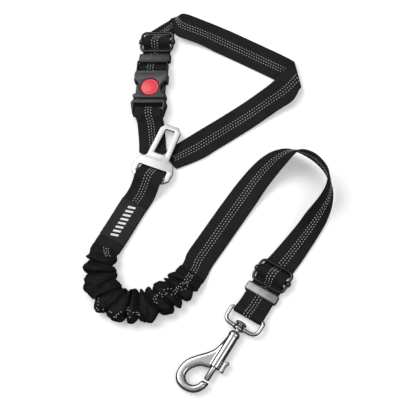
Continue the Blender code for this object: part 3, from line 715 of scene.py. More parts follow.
# doubled ends: over the slider, through the keeper, round a bar and back
def endStrapRoute(x, y, barDistance, barHeight, barRadius, barShift):
    wrap = barRadius + 0.35 + webbing["thickness"] / 2
    route = [
        (9.6, rest), (7.2, rest + 0.9), (5.2, 3.6), (3.9, 6.9), (1.6, 8.7), (-1.6, 8.7), (-3.9, 6.9),
        (-5.0, 4.2), (-6.6, 2.9), (-9.6, 2.75), (-11.6, 3.9), (-14.0, 4.0), (-barDistance + wrap + 5.0, 4.0)]
    for step in range(7):
        turn = radians(90 + 30 * step)
        route.append((-barDistance + wrap * cos(turn), barHeight + wrap * sin(turn)))
    route += [(-barDistance + wrap + 5.0, 2.0), (-14.0, 2.0), (-11.7, 1.9), (-9.4, 1.05), (-7.5, rest),
              (-5.0, rest), (-2.6, rest + 0.4)]
    centre = smoothRoute([(x, y + along, height) for along, height in route], 5)
    for point in centre:
        pastSlider = y - point.y - 10.5
        point.x += barShift * min(1.0, max(0.0, pastSlider / 13.0))
    side = Vector((webbing["width"] / 2, 0, 0))
    return [point - side for point in centre], [point + side for point in centre]


upperEnd = Strap(*endStrapRoute(1.6, 48.0, 27.7, 5.0, 1.9, -1.6), buckleFrame, seed=4.0)
strapPiece("buckle_end_webbing", upperEnd, "buckle_top", ["buckle_end_strap"])
strapStitches("buckle_end_stitching", upperEnd, "buckle_top", -1.6, sides=(-1,),
              bendShift=lambda distance: max(0.0, 14.0 - distance) * 0.35)
lowerEnd = Strap(*endStrapRoute(0, 0, 36.7, 4.8, 1.6, 0.0), leashEndFrame, seed=5.0)
strapPiece("leash_end_webbing", lowerEnd, "leash", ["leash_end_strap"])
strapStitches("leash_end_stitching", lowerEnd, "leash", -0.4, sides=(-1,))

# short strap from the tongue to the buckle's base
shortRoute = [
    (7.2, -63.5, 2.5), (6.5, -58.0, 2.2), (5.7, -52.0, 1.3), (4.9, -46.0, 1.4), (4.3, -42.0, 2.0),
    (3.8, -38.5, 2.7), (3.4, -35.5, 3.4), (2.7, -31.8, 4.6), (1.7, -28.9, 6.5), (0.7, -26.0, 8.3),
    (0.1, -23.0, 8.5), (0, -20.6, 8.2), (0, -19.1, 6.4), (0, -19.2, 4.2), (0, -20.7, 2.4), (0.3, -23.0, 1.9),
    (1.0, -26.5, 1.5), (2.0, -30.0, 1.1), (3.2, -35.0, rest), (3.6, -38.0, rest)]
shortHalfWidth = 11.8
shortCentre = smoothRoute(shortRoute, 5)
shortSide = Vector((shortHalfWidth, 0, 0))
shortStrap = Strap([p - shortSide for p in shortCentre], [p + shortSide for p in shortCentre], buckleFrame,
                   startPoint=4.0, seed=6.0)
strapPiece("buckle_base_webbing", shortStrap, "harness", ["buckle_base_strap"])
strapStitches("buckle_base_stitching", shortStrap, "harness", 0.3, 4.0, sides=(1,))

# label strap, over the tongue's end bar and down through its slot
labelRoute = smoothRoute([
    (-77.4, -41.6, 3.4), (-74.6, -36.0, 2.2), (-71.5, -30.6, 1.6), (-64.0, -17.4, rest), (-56.5, -4.4, rest),
    (-49.8, 5.8, 1.4), (-45.8, 12.4, 5.0), (-43.5, 16.5, 8.6), (-41.7, 20.5, 9.3), (-40.0, 24.5, 6.9),
    (-38.6, 28.0, 3.0), (-37.4, 31.4, 2.4), (-36.0, 34.6, 2.0), (-34.2, 39.0, 1.8), (-32.6, 43.0, 1.8)], 6)
labelStrap = Strap(*levelEdges(labelRoute, webbing["width"]), layoutFrame, endPoint=9.0, seed=7.0)
strapPiece("label_webbing", labelStrap, "harness", ["label_strap"])
strapStitches("label_webbing_stitching", labelStrap, "harness", -0.4, 48.0, 14.0)

# label: a sewn satin patch with plain slanted bars
labelSet = {"start": 9.6, "length": 37.5, "lift": 1.05, "thickness": 0.5, "bars": 8, "barLength": 6.4,
            "barWidth": 1.9, "barThickness": 0.16, "barLift": 0.06, "barMargin": 5.0, "slant": 1.7}
hemSet = {"rows": (1.2, 2.4, labelSet["length"] - 1.3), "edge": 0.94, "pitch": 0.15, "sink": 0.1,
          "size": (1.5, 0.5, 0.32)}


def labelPoint(along, across):
    distance = labelSet["start"] + along * labelSet["length"]
    return labelStrap.point(distance, (across * 2 - 1) * 0.985, labelSet["lift"])


labelObj, labelShares = gridPiece("label_patch_satin", 40, 20, labelPoint)
setUv(labelObj, labelShares, labelSet["length"], webbing["width"])
applyModifier(labelObj, "SOLIDIFY", thickness=labelSet["thickness"] * mm, offset=0)
applyModifier(labelObj, "SUBSURF", levels=1, render_levels=1)
finishPiece(labelObj, Matrix.Identity(4), "label", "harness", ["label_patch"], 60)
halfWebbing = webbing["width"] / 2
barMargin = labelSet["barMargin"]
for number in range(labelSet["bars"]):
    spread = number * (labelSet["length"] - 2 * barMargin) / (labelSet["bars"] - 1)
    middle = labelSet["start"] + barMargin + spread

    def barPoint(along, across):
        reach = (along - 0.5) * labelSet["barLength"]
        slip = reach / labelSet["barLength"] * labelSet["slant"]
        distance = middle + (across - 0.5) * labelSet["barWidth"] + slip
        lift = labelSet["lift"] + labelSet["thickness"] / 2 + labelSet["barLift"]
        return labelStrap.point(distance, reach / halfWebbing, lift)

    bar, barShares = gridPiece("label_bar_%d" % (number + 1), 6, 3, barPoint)
    setUv(bar, barShares, labelSet["barLength"], labelSet["barWidth"])
    applyModifier(bar, "SOLIDIFY", thickness=labelSet["barThickness"] * mm, offset=0)
    finishPiece(bar, Matrix.Identity(4), "print", "harness", (), 40)

hemPlaces = []
hemLift = labelSet["lift"] + labelSet["thickness"] / 2 - hemSet["sink"]
for distance in hemSet["rows"]:
    across = -hemSet["edge"]
    while across < hemSet["edge"]:
        normal, ahead = labelStrap.normalAt(labelSet["start"] + distance, across)
        spot = labelStrap.point(labelSet["start"] + distance, across, hemLift)
        hemPlaces.append((spot, ahead.cross(normal), -ahead, normal, *hemSet["size"]))
        across += hemSet["pitch"]
stitchMesh("label_hem_stitching", hemPlaces, "darkStitch", "harness")
print("straps and label made")

# gathered cover of the elastic section
coverSet = {"folds": 12, "depth": 6.2, "lean": 2.0, "tilt": 0.040, "pleat": 0.6, "rows": 480, "around": 88,
            "seed": 11, "smoothEnd": 0.05, "taper": 0.11, "wrinkle": 0.30, "fineWrinkle": 0.12,
            "floorGap": 0.25, "smoothRounds": 8, "routeSteps": 12}
coverStitchSet = {"turnGap": 9.5, "stray": 14.0, "lift": 0.05, "size": (0.95, 0.55, 0.4), "first": 0.012,
                  "last": 0.985}
coreWidth = 13.0
coverRoute = smoothRoute([
    (-76.6, -39.6, 4.0), (-79.0, -46.0, 5.6), (-80.4, -55.0, 6.8), (-80.0, -66.0, 7.2), (-75.8, -79.0, 7.2),
    (-66.0, -88.6, 7.2), (-51.0, -92.2, 7.2), (-35.0, -89.4, 7.2), (-20.6, -81.0, 6.8), (-10.4, -71.0, 5.6),
    (-5.2, -64.6, 3.6)], coverSet["routeSteps"])
coverWidths = [12.3, 11.8, 12.8, 13.4, 13.2, 13.4, 13.2, 13.2, 12.8, 12.2, 12.3]
coverHeights = [1.5, 3.6, 5.4, 6.2, 6.2, 6.2, 6.2, 6.2, 5.4, 3.8, 1.6]
coverMarks = [0.0]
for before, after in zip(coverRoute, coverRoute[1:]):
    coverMarks.append(coverMarks[-1] + (after - before).length)
coverLength = coverMarks[-1]


# middle, sideways direction, half width and half height at a share of the cover's length
def alongCover(share):
    distance = min(max(share, 0.0), 1.0) * coverLength
    index = 0
    while index < len(coverMarks) - 2 and coverMarks[index + 1] < distance:
        index += 1
    part = (distance - coverMarks[index]) / max(coverMarks[index + 1] - coverMarks[index], 1e-9)
    point = coverRoute[index].lerp(coverRoute[index + 1], part)
    ahead = coverRoute[min(index + 2, len(coverRoute) - 1)] - coverRoute[max(index - 1, 0)]
    side = Vector((-ahead.y, ahead.x, 0)).normalized()
    spot = (index + part) / coverSet["routeSteps"]
    low = min(int(spot), len(coverWidths) - 2)
    return (point, side, coverWidths[low] + (coverWidths[low + 1] - coverWidths[low]) * (spot - low),
            coverHeights[low] + (coverHeights[low + 1] - coverHeights[low]) * (spot - low))


random.seed(coverSet["seed"])
foldEdges = [coverSet["smoothEnd"]]
for number in range(coverSet["folds"]):
    foldEdges.append(foldEdges[-1] + random.uniform(0.65, 1.35))
foldScale = (1 - 2 * coverSet["smoothEnd"]) / (foldEdges[-1] - foldEdges[0])
foldEdges = [coverSet["smoothEnd"] + (edge - foldEdges[0]) * foldScale for edge in foldEdges]
foldTilts = [random.uniform(-1, 1) * coverSet["tilt"] for _ in foldEdges]
foldTurns = [random.uniform(-1, 1) * 0.7 for _ in foldEdges]
foldDepths = [random.uniform(0.65, 1.25) for _ in foldEdges]
foldLeans = [random.uniform(0.3, 1.0) * random.choice((-1, 1)) for _ in foldEdges]
foldPleats = [random.choice((1, 2, 2, 3)) for _ in foldEdges]


# a point of the gathered cloth in metres; turn is the angle round the tube
def coverPoint(share, turn, lift=0.0):
    edges = [edge + tilt * cos(turn + offset) for edge, tilt, offset in zip(foldEdges, foldTilts, foldTurns)]
    number = -1
    for index in range(len(edges) - 1):
        if edges[index] <= share < edges[index + 1]:
            number = index
    swell, lean = 0.0, 0.0
    if number >= 0:
        part = (share - edges[number]) / (edges[number + 1] - edges[number])
        lobe = max(sin(pi * part), 0.0) ** 0.6
        pleat = abs(sin(pi * foldPleats[number] * part + 0.6 * sin(turn * 2 + number))) ** 0.7
        swell = foldDepths[number] * (lobe - 0.74)
        swell += coverSet["pleat"] * (pleat - 0.6) * lobe / coverSet["depth"]
        lean = foldLeans[number] * lobe * sin(pi * part)
    ramp = min(1.0, share / coverSet["taper"], (1 - share) / coverSet["taper"])
    ramp = max(0.0, ramp) ** 1.5
    wrinkle = noise.noise(Vector((share * 30.0, cos(turn) * 1.6, sin(turn) * 1.6)))
    fine = noise.noise(Vector((share * 80.0, cos(turn) * 3.0 + 7.0, sin(turn) * 3.0)))
    inner = 0.5 + 0.5 * cos(turn)
    point, side, wide, high = alongCover(share)
    ahead = side.cross(Vector((0, 0, 1)))
    ruck = swell + coverSet["wrinkle"] * wrinkle + coverSet["fineWrinkle"] * fine
    out = coverSet["depth"] * ramp * ruck * (1.0 - 0.25 * inner) + lift
    reach = wide * cos(turn) + out * cos(turn)
    rise = high * sin(turn) + out * sin(turn) * 0.8
    slip = coverSet["lean"] * ramp * lean * (0.6 + 0.4 * abs(cos(turn)))
    spot = point + side * reach + ahead * slip
    spot.z = max(spot.z + rise, coverSet["floorGap"] + max(0.0, -sin(turn)) * 0.1)
    return layoutFrame @ (spot * mm)


coverRows = coverSet["rows"]


def coverPlace(along, across):
    row = round(along * coverRows)
    if row in (0, coverRows):
        point, _, _, _ = alongCover(along)
        return layoutFrame @ (point * mm)
    return coverPoint((row - 1) / (coverRows - 2), 2 * pi * across)


coverObj, coverShares = gridPiece("gathered_cover", coverRows, coverSet["around"], coverPlace)
setUv(coverObj, coverShares, coverLength * 1.9, 72.0)
weld(coverObj, 0.00001)
applyModifier(coverObj, "SMOOTH", factor=0.5, iterations=coverSet["smoothRounds"])
finishPiece(coverObj, Matrix.Identity(4), "cover", None, ["elastic_cover"], 70)


# three rows of reflective stitches, which wander round the cover as it is gathered
lineTurns = smoothRoute([
    (0.0, 92, 0), (0.08, 62, 0), (0.16, 34, 0), (0.24, 60, 0), (0.32, 118, 0), (0.42, 150, 0), (0.52, 112, 0),
    (0.60, 140, 0), (0.68, 96, 0), (0.78, 84, 0), (0.88, 104, 0), (1.0, 90, 0)], 12)


def lineTurn(share):
    for first, second in zip(lineTurns, lineTurns[1:]):
        if first.x <= share <= second.x:
            part = (share - first.x) / max(second.x - first.x, 1e-9)
            return first.y + (second.y - first.y) * part
    return 90.0


# the gathers swallow some runs of stitches and scatter the others
def stitchShows(share, line):
    if share < 0.11 or share > 0.93:
        return True
    spread = noise.noise(Vector((share * 34.0, line * 0.9, 3.3)))
    if share < 0.32 or 0.61 < share < 0.70:
        return spread > 0.42
    return spread > (0.12 if share < 0.61 else -0.12)


coverStitches = []
for line in (-1, 0, 1):
    share = coverStitchSet["first"] + (0.004 if line == 0 else 0.0)
    while share < coverStitchSet["last"]:
        stray = noise.noise(Vector((share * 24.0, line * 2.0, 9.1))) * min(1.0, share * 6, (1 - share) * 8)
        turn = radians(lineTurn(share) + line * coverStitchSet["turnGap"] + stray * coverStitchSet["stray"])
        lift = coverStitchSet["lift"]
        spot = coverPoint(share, turn, lift)
        ahead = coverPoint(share + 0.002, turn, lift) - coverPoint(share - 0.002, turn, lift)
        aside = coverPoint(share, turn + 0.03, lift) - coverPoint(share, turn - 0.03, lift)
        up = ahead.cross(aside).normalized()
        if up.dot(spot - layoutFrame @ (alongCover(share)[0] * mm)) < 0:
            up = -up
        share += 0.004 * 2.5 / max(ahead.length / mm, 0.4)
        ahead.normalize()
        if stitchShows(share, line):
            coverStitches.append((spot, ahead, up.cross(ahead), up, *coverStitchSet["size"]))
coreEnd = coverSet["routeSteps"]
coreEdges = levelEdges(coverRoute[coreEnd:-coreEnd], coreWidth)  # the rubber band that gathers the cover
coreObj = strapPiece("rubber_core_band", Strap(*coreEdges, layoutFrame, seed=9.0), None, ["elastic_core"],
                     "elastic")
coverStitchObj = stitchMesh("gathered_cover_stitching", coverStitches, "stitch", None)
for obj in (coverObj, coverStitchObj, coreObj):
    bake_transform(obj)
print("gathered cover made:", len(coverObj.data.polygons), "faces,", len(coverStitches), "stitches")


# sliders: a bent wire frame, and a bar whose eyes run on it
sliderSet = {"length": 21.0, "halfWidth": 14.0, "wire": 1.2, "height": 4.9, "barWidth": 3.2, "barThick": 1.6}


def sliderPieces(name, place, x, y, frameBody, barBody):
    halfLong = sliderSet["length"] / 2 - sliderSet["wire"]
    wide, height = sliderSet["halfWidth"], sliderSet["height"]
    corners = [(wide, -halfLong, 5), (wide, halfLong, 5), (-wide, halfLong, 5), (-wide, -halfLong, 5)]
    path = [(x + px, y + py, height) for px, py in roundedOutline(corners, 8)]
    wire = sweptPiece(name + "_wire_frame", path, sliderSet["wire"], 20, closed=True)
    finishPiece(wire, place, "gunmetal", frameBody, [name + "_frame"])
    barHalf, thickHalf = sliderSet["barWidth"] / 2, sliderSet["barThick"] / 2
    bar = boxPiece(name + "_sliding_bar", (x - wide, y - barHalf, height - thickHalf),
                   (x + wide, y + barHalf, height + thickHalf))
    softenEdges(bar, 0.5, 3)
    for side in (-1, 1):
        middle = x + side * wide
        bead = turnedPiece("bead", (middle, y - 2.0, height), (0, 1, 0),
                           [(0, 0), (0, 1.5), (0.25, 2.0), (0.8, 2.35), (3.2, 2.35), (3.75, 2.0),
                            (4, 1.5), (4, 0)], 28)
        carve(bar, bead, operation="UNION")
        carve(bar, turnedPiece("hole", (middle, y - 5, height), (0, 1, 0),
                               [(0, 0), (0, 1.5), (10, 1.5), (10, 0)], 24))
    finishPiece(bar, place, "gunmetal", barBody, [name + "_bar"])


sliderPieces("upper_slider", buckleFrame, 1.6, 48.0, "upper_frame", "buckle_top")
sliderPieces("lower_slider", leashEndFrame, 0.0, 0.0, "lower_frame", "leash")

# keepers: a flat band closed into a ring round the two layers
keeperSet = {"length": 8.0, "width": 28.2, "height": 6.2, "wall": 1.0}


def keeperPiece(name, node, place, x, y, finish, body):
    halfWide, halfLong = keeperSet["width"] / 2, keeperSet["length"] / 2
    wall, height = keeperSet["wall"], keeperSet["height"]
    band = boxPiece(name, (x - halfWide, y - halfLong, 0), (x + halfWide, y + halfLong, height))
    inner = boxPiece("inner", (x - halfWide + wall, y - halfLong - 3, wall),
                     (x + halfWide - wall, y + halfLong + 3, height - wall))
    pick(band)
    bpy.ops.object.mode_set(mode="EDIT")
    bpy.ops.mesh.select_all(action="DESELECT")
    bpy.ops.object.mode_set(mode="OBJECT")
    for edge in band.data.edges:
        first, second = (band.data.vertices[index].co for index in edge.vertices)
        edge.select = abs(first.y - second.y) > 0.001  # the four long corners
    bpy.ops.object.mode_set(mode="EDIT")
    bpy.ops.mesh.bevel(offset=1.7 * mm, segments=5, affect="EDGES")
    bpy.ops.object.mode_set(mode="OBJECT")
    carve(band, softenEdges(inner, 0.7, 3, 60))
    seam = boxPiece("seam", (x + 3.0, y - halfLong - 1, -1), (x + 3.25, y + halfLong + 1, 0.35))
    carve(band, seam)
    softenEdges(band, 0.22, 2, 50)
    return finishPiece(band, place, finish, body, [node])


keeperPiece("upper_keeper_band", "upper_keeper", buckleFrame, 0.9, 31.9,
            "keeperDark", "upper_keeper")
keeperPiece("lower_keeper_band", "lower_keeper", leashEndFrame, -0.4, -16.0,
            "keeperLight", "lower_keeper")
print("sliders and keepers made")

# side-release buckle
housingSet = {"top": 26.8, "bottom": -10.6, "width": 29.4, "base": 0.5, "height": 10.0, "wall": 1.3,
              "buttonHole": 8.1, "sideHole": 7.2, "sideHoleX": 16.6, "rim": 1.3}
baseSet = {"half": 15.8, "height": 9.4, "middle": 5.5, "rim": 1.3, "ridges": 3, "ridgePitch": 2.1}
armSet = {"outer": 12.9, "height": 4.0, "middle": 4.4, "rim": 0.4, "grips": 3, "gripPitch": 1.9}
webHalf = webbing["width"] / 2 + 0.6  # half of every window that webbing passes through


def housingPiece():
    half = housingSet["width"] / 2
    bottom, top = housingSet["bottom"], housingSet["top"]
    base, roof = housingSet["base"], housingSet["base"] + housingSet["height"]
    outline = roundedOutline(bothSides([
        (half - 1.0, bottom, 1.5), (half, bottom + 3, 2), (half, 14.0, 2), (half - 1.2, 16.5, 2),
        (half - 1.2, top, 1.5)]))
    body = platePiece("buckle_upper_half", [outline], base + housingSet["height"] / 2,
                      housingSet["height"], housingSet["rim"], 4)
    inside = half - housingSet["wall"]
    window = boxPiece("window", (-webHalf, 15.8, base - 2), (webHalf, 25.0, roof + 2))
    softenEdges(window, 0.5, 2, 60)
    buttonHole = housingSet["buttonHole"]
    carve(body,
          boxPiece("cavity", (-inside, bottom - 2, base + housingSet["wall"]), (inside, 14.2, roof - 1.6)),
          window,
          boxPiece("entry", (-webHalf, 24.0, base - 2), (webHalf, top + 2, 7.0)),
          turnedPiece("buttonHole", (0, 0, 5), (0, 0, 1), [
              (0, 0), (0, buttonHole), (4.9, buttonHole), (5.45, buttonHole + 0.5), (9, buttonHole + 0.5),
              (9, 0)], 72))
    hole, holeX = housingSet["sideHole"], housingSet["sideHoleX"]
    for side in (-1, 1):
        carve(body, turnedPiece("sideHole", (side * holeX, 0, -1), (0, 0, 1),
                                [(0, 0), (0, hole + 0.7), (1.6, hole + 0.7), (2.4, hole), (10.6, hole),
                                 (11.4, hole + 0.7), (14, hole + 0.7), (14, 0)], 56))
    groove = boxPiece("groove", (-half + 1.6, 13.1, roof - 0.35), (half - 1.6, 13.7, roof + 1))
    lip = boxPiece("lip", (-half + 1.6, 26.0, roof - 0.3), (half - 1.6, 26.4, roof + 1))
    carve(body, groove, lip)
    for low, high in ((-7.5, 1.5), (4.0, 12.0)):
        pocket = boxPiece("pocket", (-6.5, low, base - 1), (6.5, high, base + 0.5))
        carve(body, softenEdges(pocket, 0.4, 2, 60))
    bar = turnedPiece("innerBar", (-webHalf - 0.6, 20.3, 5.0), (1, 0, 0),
                      [(0, 0), (0, 1.9), (2 * webHalf + 1.2, 1.9), (2 * webHalf + 1.2, 0)], 24)
    carve(body, bar, operation="UNION")
    softenEdges(body, 0.16, 2, 50)
    return finishPiece(body, buckleFrame, "buckle", "buckle_top", ["buckle_housing"])


def basePiece():
    half = baseSet["half"]
    outline = roundedOutline(bothSides([
        (half - 2.6, -26.0, 1.5), (half, -14.6, 2.5), (half - 2.4, -11.0, 1.0)]))
    body = platePiece("buckle_lower_half", [outline], baseSet["middle"], baseSet["height"], baseSet["rim"], 4)
    slot = softenEdges(boxPiece("slot", (-webHalf, -21.4, -2), (webHalf, -15.2, 14)), 0.4, 2, 60)
    carve(body, slot,
          boxPiece("underBar", (-webHalf, -28, -2), (webHalf, -19, 3.4)),
          boxPiece("overBar", (-webHalf, -28, 7.0), (webHalf, -19, 14)))
    for side in (-1, 1):
        for number in range(baseSet["ridges"]):
            y = -24.0 + number * baseSet["ridgePitch"]
            x = side * (half - 2.35 + (y + 26) * 0.228)
            ridge = boxPiece("ridge", (x - 0.5, y, 3.0), (x + 0.5, y + 0.8, 8.0))
            carve(body, ridge)
    softenEdges(body, 0.16, 2, 50)
    return finishPiece(body, buckleFrame, "base", "harness", ["buckle_base"])


def armPiece(tag, side):
    outer = armSet["outer"]
    corners = [(5.2, -10.6, 0.5), (9.4, -10.6, 0.5), (10.4, -5.0, 1.0), (outer, -3.4, 1.0),
               (outer, 4.2, 1.5), (10.6, 8.6, 1.2), (8.6, 8.6, 1.0), (8.6, -2.0, 1.5)]
    outline = [(side * x, y) for x, y in roundedOutline(corners)]
    if side < 0:
        outline.reverse()
    arm = platePiece("buckle_arm_%s_sprung" % tag, [outline], armSet["middle"],
                     armSet["height"], armSet["rim"])
    for number in range(armSet["grips"]):
        y = -1.6 + number * armSet["gripPitch"]
        x = side * outer
        carve(arm, boxPiece("grip", (x - 0.35, y, 2.0), (x + 0.35, y + 0.7, 7.0)))
    return finishPiece(arm, buckleFrame, "base", tag + "_arm", ["buckle_arm_" + tag])


housingPiece()
basePiece()
armPiece("left", -1)
armPiece("right", 1)
button = turnedPiece("red_lock_button", (0, 0, 8.2), (0, 0, 1), [
    (0, 0), (0, 7.3), (0.15, 7.6), (0.4, 7.75), (1.7, 7.8), (2.0, 7.68), (2.2, 7.4), (2.26, 7.05),
    (2.2, 6.75), (2.14, 6.5), (2.2, 6.25), (2.36, 5.8), (2.52, 4.8), (2.64, 3.6),
    (2.74, 2.2), (2.79, 1.0), (2.8, 0)], 72)
finishPiece(button, buckleFrame, "button", "button", ["lock_button"], 60)
print("buckle made")

# seat-belt tongue, stamped from plate
tongueOutline = bothSides([
    (12.6, -2.0, 2), (17.2, 1.6, 3), (18.0, 9.5, 3), (15.4, 16.6, 1.5), (10.2, 18.6, 3), (9.4, 46.2, 2.5),
    (6.0, 50.6, 2)])
tongueSet = {"middle": 5.3, "thickness": 2.6, "rim": 0.5}
tongueSlot = [(-webHalf, 2.0, 0.8), (webHalf, 2.0, 0.8), (webHalf, 9.3, 0.8), (-webHalf, 9.3, 0.8)]
latchWindow = [(-5.2, 23.0, 1), (5.2, 23.0, 1), (4.2, 46.2, 1), (-4.2, 46.2, 1)]
tonguePlate = platePiece("seat_belt_tongue_plate",
                         [roundedOutline(outline) for outline in (tongueOutline, tongueSlot, latchWindow)],
                         tongueSet["middle"], tongueSet["thickness"], tongueSet["rim"], 3)
finishPiece(tonguePlate, tongueFrame, "steel", "tongue", ["seat_belt_tongue"], 30)

# swivel bolt snap
snapSet = {"x": -1.0, "z": 4.8, "eyeBar": -36.7, "eyeBottom": -49.4, "eyeHalf": 14.6, "eyeWire": 1.6,
           "barrelTop": -53.4, "barrelBottom": -86.6, "collar": 4.5, "bolt": 2.3, "bore": 2.6,
           "boltTip": -97.6, "boltTop": -75.6}
snapX, snapZ = snapSet["x"], snapSet["z"]

eyeHalf = snapSet["eyeHalf"]
eyeCorners = [(eyeHalf, snapSet["eyeBar"], 2.6), (eyeHalf, snapSet["eyeBottom"], 6.5),
              (-eyeHalf, snapSet["eyeBottom"], 6.5), (-eyeHalf, snapSet["eyeBar"], 2.6)]
eyePath = [(snapX * 0.3 + x, y, snapZ) for x, y in roundedOutline(eyeCorners, 10)]
eyeRing = sweptPiece("snap_swivel_eye", eyePath, snapSet["eyeWire"], 20, closed=True)
eyeBottom = snapSet["eyeBottom"]
boss = turnedPiece("boss", (snapX, eyeBottom - 2.3, snapZ), (0, 1, 0), [
    (0, 0), (0, 3.8), (0.3, 4.4), (0.9, 4.7), (1.6, 4.6), (2.6, 4.1), (3.4, 3.8), (4.0, 3.4),
    (4.2, 2.8), (4.2, 0)], 36)
eyeRing = cast(joined(eyeRing, boss), 0.28, 5)
eyeRing.name = "snap_swivel_eye"
carve(eyeRing, turnedPiece("eyeHole", (snapX, eyeBottom - 5, snapZ), (0, 1, 0),
                           [(0, 0), (0, 2.2), (10, 2.2), (10, 0)], 28))
finishPiece(eyeRing, leashEndFrame, "nickel", "eye", ["swivel_eye"], 40)

post = turnedPiece("snap_swivel_post", (snapX, snapSet["barrelTop"] + 0.3, snapZ), (0, 1, 0), [
    (0, 0), (0, 1.9), (6.2, 1.9), (6.2, 4.0), (6.35, 4.5), (6.7, 4.75), (7.3, 4.7), (7.9, 4.2), (8.4, 3.3),
    (8.75, 2.0), (8.9, 0.9), (8.9, 0)], 40)
finishPiece(post, leashEndFrame, "nickel", "snap", ["swivel_post"], 40)

hookOutline = [
    (-3.6, -4.8), (-4.7, -9.3), (-6.6, -17.5), (-10.6, -23.5), (-16.5, -29.8), (-21.5, -36.7), (-23.4, -44.3),
    (-22.2, -51.6), (-17.6, -56.4), (-10.3, -57.8), (-3.2, -55.9), (1.2, -51.3), (2.9, -46.6), (3.0, -44.0),
    (-2.4, -44.6), (-3.6, -48.0), (-7.2, -51.2), (-12.2, -51.2), (-15.8, -47.2), (-15.0, -41.6),
    (-10.2, -35.8), (-4.0, -33.6), (-1.0, -31.4), (0.4, -22.0), (0.4, -8.0)]
hookPoints = smoothRoute([(snapX + x, -55.0 + y, 0) for x, y in hookOutline], 4, closed=True)
hook = platePiece("snap_body_casting", [[(p.x, p.y) for p in hookPoints]], snapZ, 5.9, 2.6, 5)
top, bottom = snapSet["barrelTop"], snapSet["barrelBottom"]
barrelLength, collar = top - bottom, snapSet["collar"]
barrel = turnedPiece("barrel", (snapX, bottom, snapZ), (0, 1, 0), [
    (0, 0), (0, 3.7), (0.3, 4.1), (0.8, 4.3), (1.6, 4.3), (14, 4.25), (24, 4.2), (barrelLength - 5.2, 4.1),
    (barrelLength - 4.6, 4.2), (barrelLength - 4.1, collar), (barrelLength - 2.4, collar),
    (barrelLength - 1.9, 4.2),
    (barrelLength - 1.3, 3.9), (barrelLength - 0.5, 3.5), (barrelLength, 2.8), (barrelLength, 0)], 44)
snapBody = cast(joined(hook, barrel), 0.26, 22)
snapBody.name = "snap_body_casting"
bore = snapSet["bore"]
boltTop = snapSet["boltTop"]
carve(snapBody,
      turnedPiece("bore", (snapX, bottom - 1, snapZ), (0, 1, 0),
                  [(0, 0), (0, bore), (29, bore), (29, 0)], 28),
      softenEdges(boxPiece("thumbSlot", (snapX, boltTop - 8.4, snapZ - 1.3),
                           (snapX + 8, boltTop + 7.4, snapZ + 1.3)), 0.6, 3, 60))
finishPiece(snapBody, leashEndFrame, "nickel", "snap", ["snap_body"], 40)

boltLength, boltRadius = boltTop - snapSet["boltTip"], snapSet["bolt"]
bolt = turnedPiece("snap_sliding_bolt", (snapX, snapSet["boltTip"], snapZ), (0, 1, 0), [
    (0, 0), (0, 1.5), (0.25, 2.0), (0.7, boltRadius), (boltLength - 0.4, boltRadius),
    (boltLength, 1.9), (boltLength, 0)], 36)
finishPiece(bolt, leashEndFrame, "nickel", "bolt", ["snap_bolt"], 40)

studY = boltTop - 6.4
stud = turnedPiece("snap_thumb_stud", (snapX + 2.0, studY, snapZ), (1, 0, 0), [
    (0, 0), (0, 1.05), (3.4, 1.05), (3.9, 1.5), (4.2, 1.9), (4.2, 0)], 28)
paddle = platePiece("paddle", [roundedOutline([
    (snapX + 5.2, studY - 4.6, 1.2), (snapX + 7.0, studY - 5.2, 1.0), (snapX + 8.4, studY - 4.4, 1.0),
    (snapX + 7.4, studY, 3.0), (snapX + 8.9, studY + 4.2, 0.7), (snapX + 8.0, studY + 5.2, 0.7),
    (snapX + 5.2, studY + 3.4, 1.5)])], snapZ, 4.2, 0.7, 3)
carve(stud, paddle, operation="UNION")
finishPiece(stud, leashEndFrame, "nickel", "bolt", ["thumb_stud"], 40)
print("snap made")

# hidden springs for the lock button and the sliding bolt
springSet = {"buttonLow": 2.6, "buttonHigh": 7.4, "buttonPress": 1.6, "boltLow": -74.6, "boltHigh": -59.4,
             "boltDraw": 10.5, "stepsPerTurn": 14}


def coilPiece(name, node, place, start, end, radius, wire, turns, body):
    start, end = Vector(start), Vector(end)
    axis = (end - start).normalized()
    side = axis.orthogonal().normalized()
    other = axis.cross(side)
    count = turns * springSet["stepsPerTurn"]
    path = []
    for index in range(count + 1):
        angle = 2 * pi * turns * index / count
        outward = side * (radius * cos(angle)) + other * (radius * sin(angle))
        path.append(start.lerp(end, index / count) + outward)
    coil = sweptPiece(name, path, wire, 8)
    return finishPiece(coil, place, "spring", body, [node])


def shortenWith(coil, joint, place, start, end, travel):
    length = (Vector(end) - Vector(start)).length
    axis = place.to_3x3() @ (Vector(end) - Vector(start))
    tuple(place @ (Vector(start) * mm))
    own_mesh(coil)


buttonSpringEnds = ((0, 0, springSet["buttonLow"]), (0, 0, springSet["buttonHigh"]))
buttonSpring = coilPiece("button_spring_coil", "lock_button_spring", buckleFrame, *buttonSpringEnds,
                         3.2, 0.4, 3, "buckle_top")
shortenWith(buttonSpring, "lock_button_press", buckleFrame, *buttonSpringEnds, springSet["buttonPress"])
boltSpringEnds = ((snapX, springSet["boltHigh"], snapZ), (snapX, springSet["boltLow"], snapZ))
boltSpring = coilPiece("bolt_spring_coil", "bolt_spring", leashEndFrame, *boltSpringEnds,
                       1.8, 0.3, 6, "snap")
shortenWith(boltSpring, "bolt_slide", leashEndFrame, *boltSpringEnds, springSet["boltDraw"])

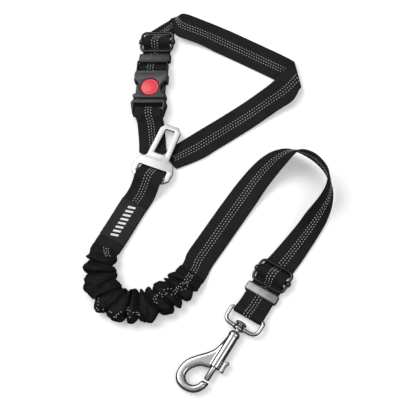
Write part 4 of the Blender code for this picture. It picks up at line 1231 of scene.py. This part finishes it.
# table, light and backdrop
stageSet = {"floor": 6.0, "keySize": 2.2, "keyPower": 56.0, "fillSize": 1.8, "fillPower": 20.0,
            "skyPower": 0.50, "skyDim": (0.30, 0.78), "floorGlow": 0.3}
clearSelection()
bpy.ops.mesh.primitive_plane_add(size=stageSet["floor"], location=(0, 0, -0.0001))
floor = bpy.context.active_object
floor.name = "table_top"
floorMaterial, floorShader = newMaterial("white table", (0.93, 0.93, 0.93), 0.7)
floorGrain = noiseOf(floorMaterial, objectPlace(floorMaterial), 30.0, 2.0)
blendColours(floorMaterial, floorShader, floorGrain, (0.925, 0.925, 0.925), (0.935, 0.935, 0.935))
floorShader.inputs["Emission Color"].default_value = (1, 1, 1, 1)
# a back-lit table: faint shadows
floorShader.inputs["Emission Strength"].default_value = stageSet["floorGlow"]
floor.visible_glossy = False  # dark surroundings in the plated metal
floor.data.materials.append(floorMaterial)


def areaLight(name, place, size, power, aim=(0, 0, 0)):
    data = bpy.data.lights.new(name, "AREA")
    data.size = size
    data.energy = power
    light = bpy.data.objects.new(name, data)
    bpy.context.scene.collection.objects.link(light)
    light.location = place
    light.rotation_euler = (Vector(aim) - Vector(place)).to_track_quat("-Z", "Y").to_euler()
    return light


areaLight("key", (-1.5, 1.1, 2.5), stageSet["keySize"], stageSet["keyPower"])
areaLight("fill", (1.9, -1.0, 2.0), stageSet["fillSize"], stageSet["fillPower"])
world = bpy.data.worlds.new("studio")
world.use_nodes = True
background = world.node_tree.nodes["Background"]
background.inputs["Strength"].default_value = stageSet["skyPower"]
skyPlace = world.node_tree.nodes.new("ShaderNodeTexCoord")
skyParts = world.node_tree.nodes.new("ShaderNodeSeparateXYZ")
skyRamp = world.node_tree.nodes.new("ShaderNodeValToRGB")  # dim near the horizon, so that metal has contrast
skyRamp.color_ramp.elements[0].position = stageSet["skyDim"][0]
skyRamp.color_ramp.elements[0].color = (0.12, 0.12, 0.12, 1)
skyRamp.color_ramp.elements[1].position = stageSet["skyDim"][1]
skyRamp.color_ramp.elements[1].color = (1, 1, 1, 1)
world.node_tree.links.new(skyPlace.outputs["Generated"], skyParts.inputs[0])
world.node_tree.links.new(skyParts.outputs["Z"], skyRamp.inputs["Fac"])
world.node_tree.links.new(skyRamp.outputs["Color"], background.inputs["Color"])
bpy.context.scene.world = world
bpy.context.scene.view_settings.view_transform = "Standard"
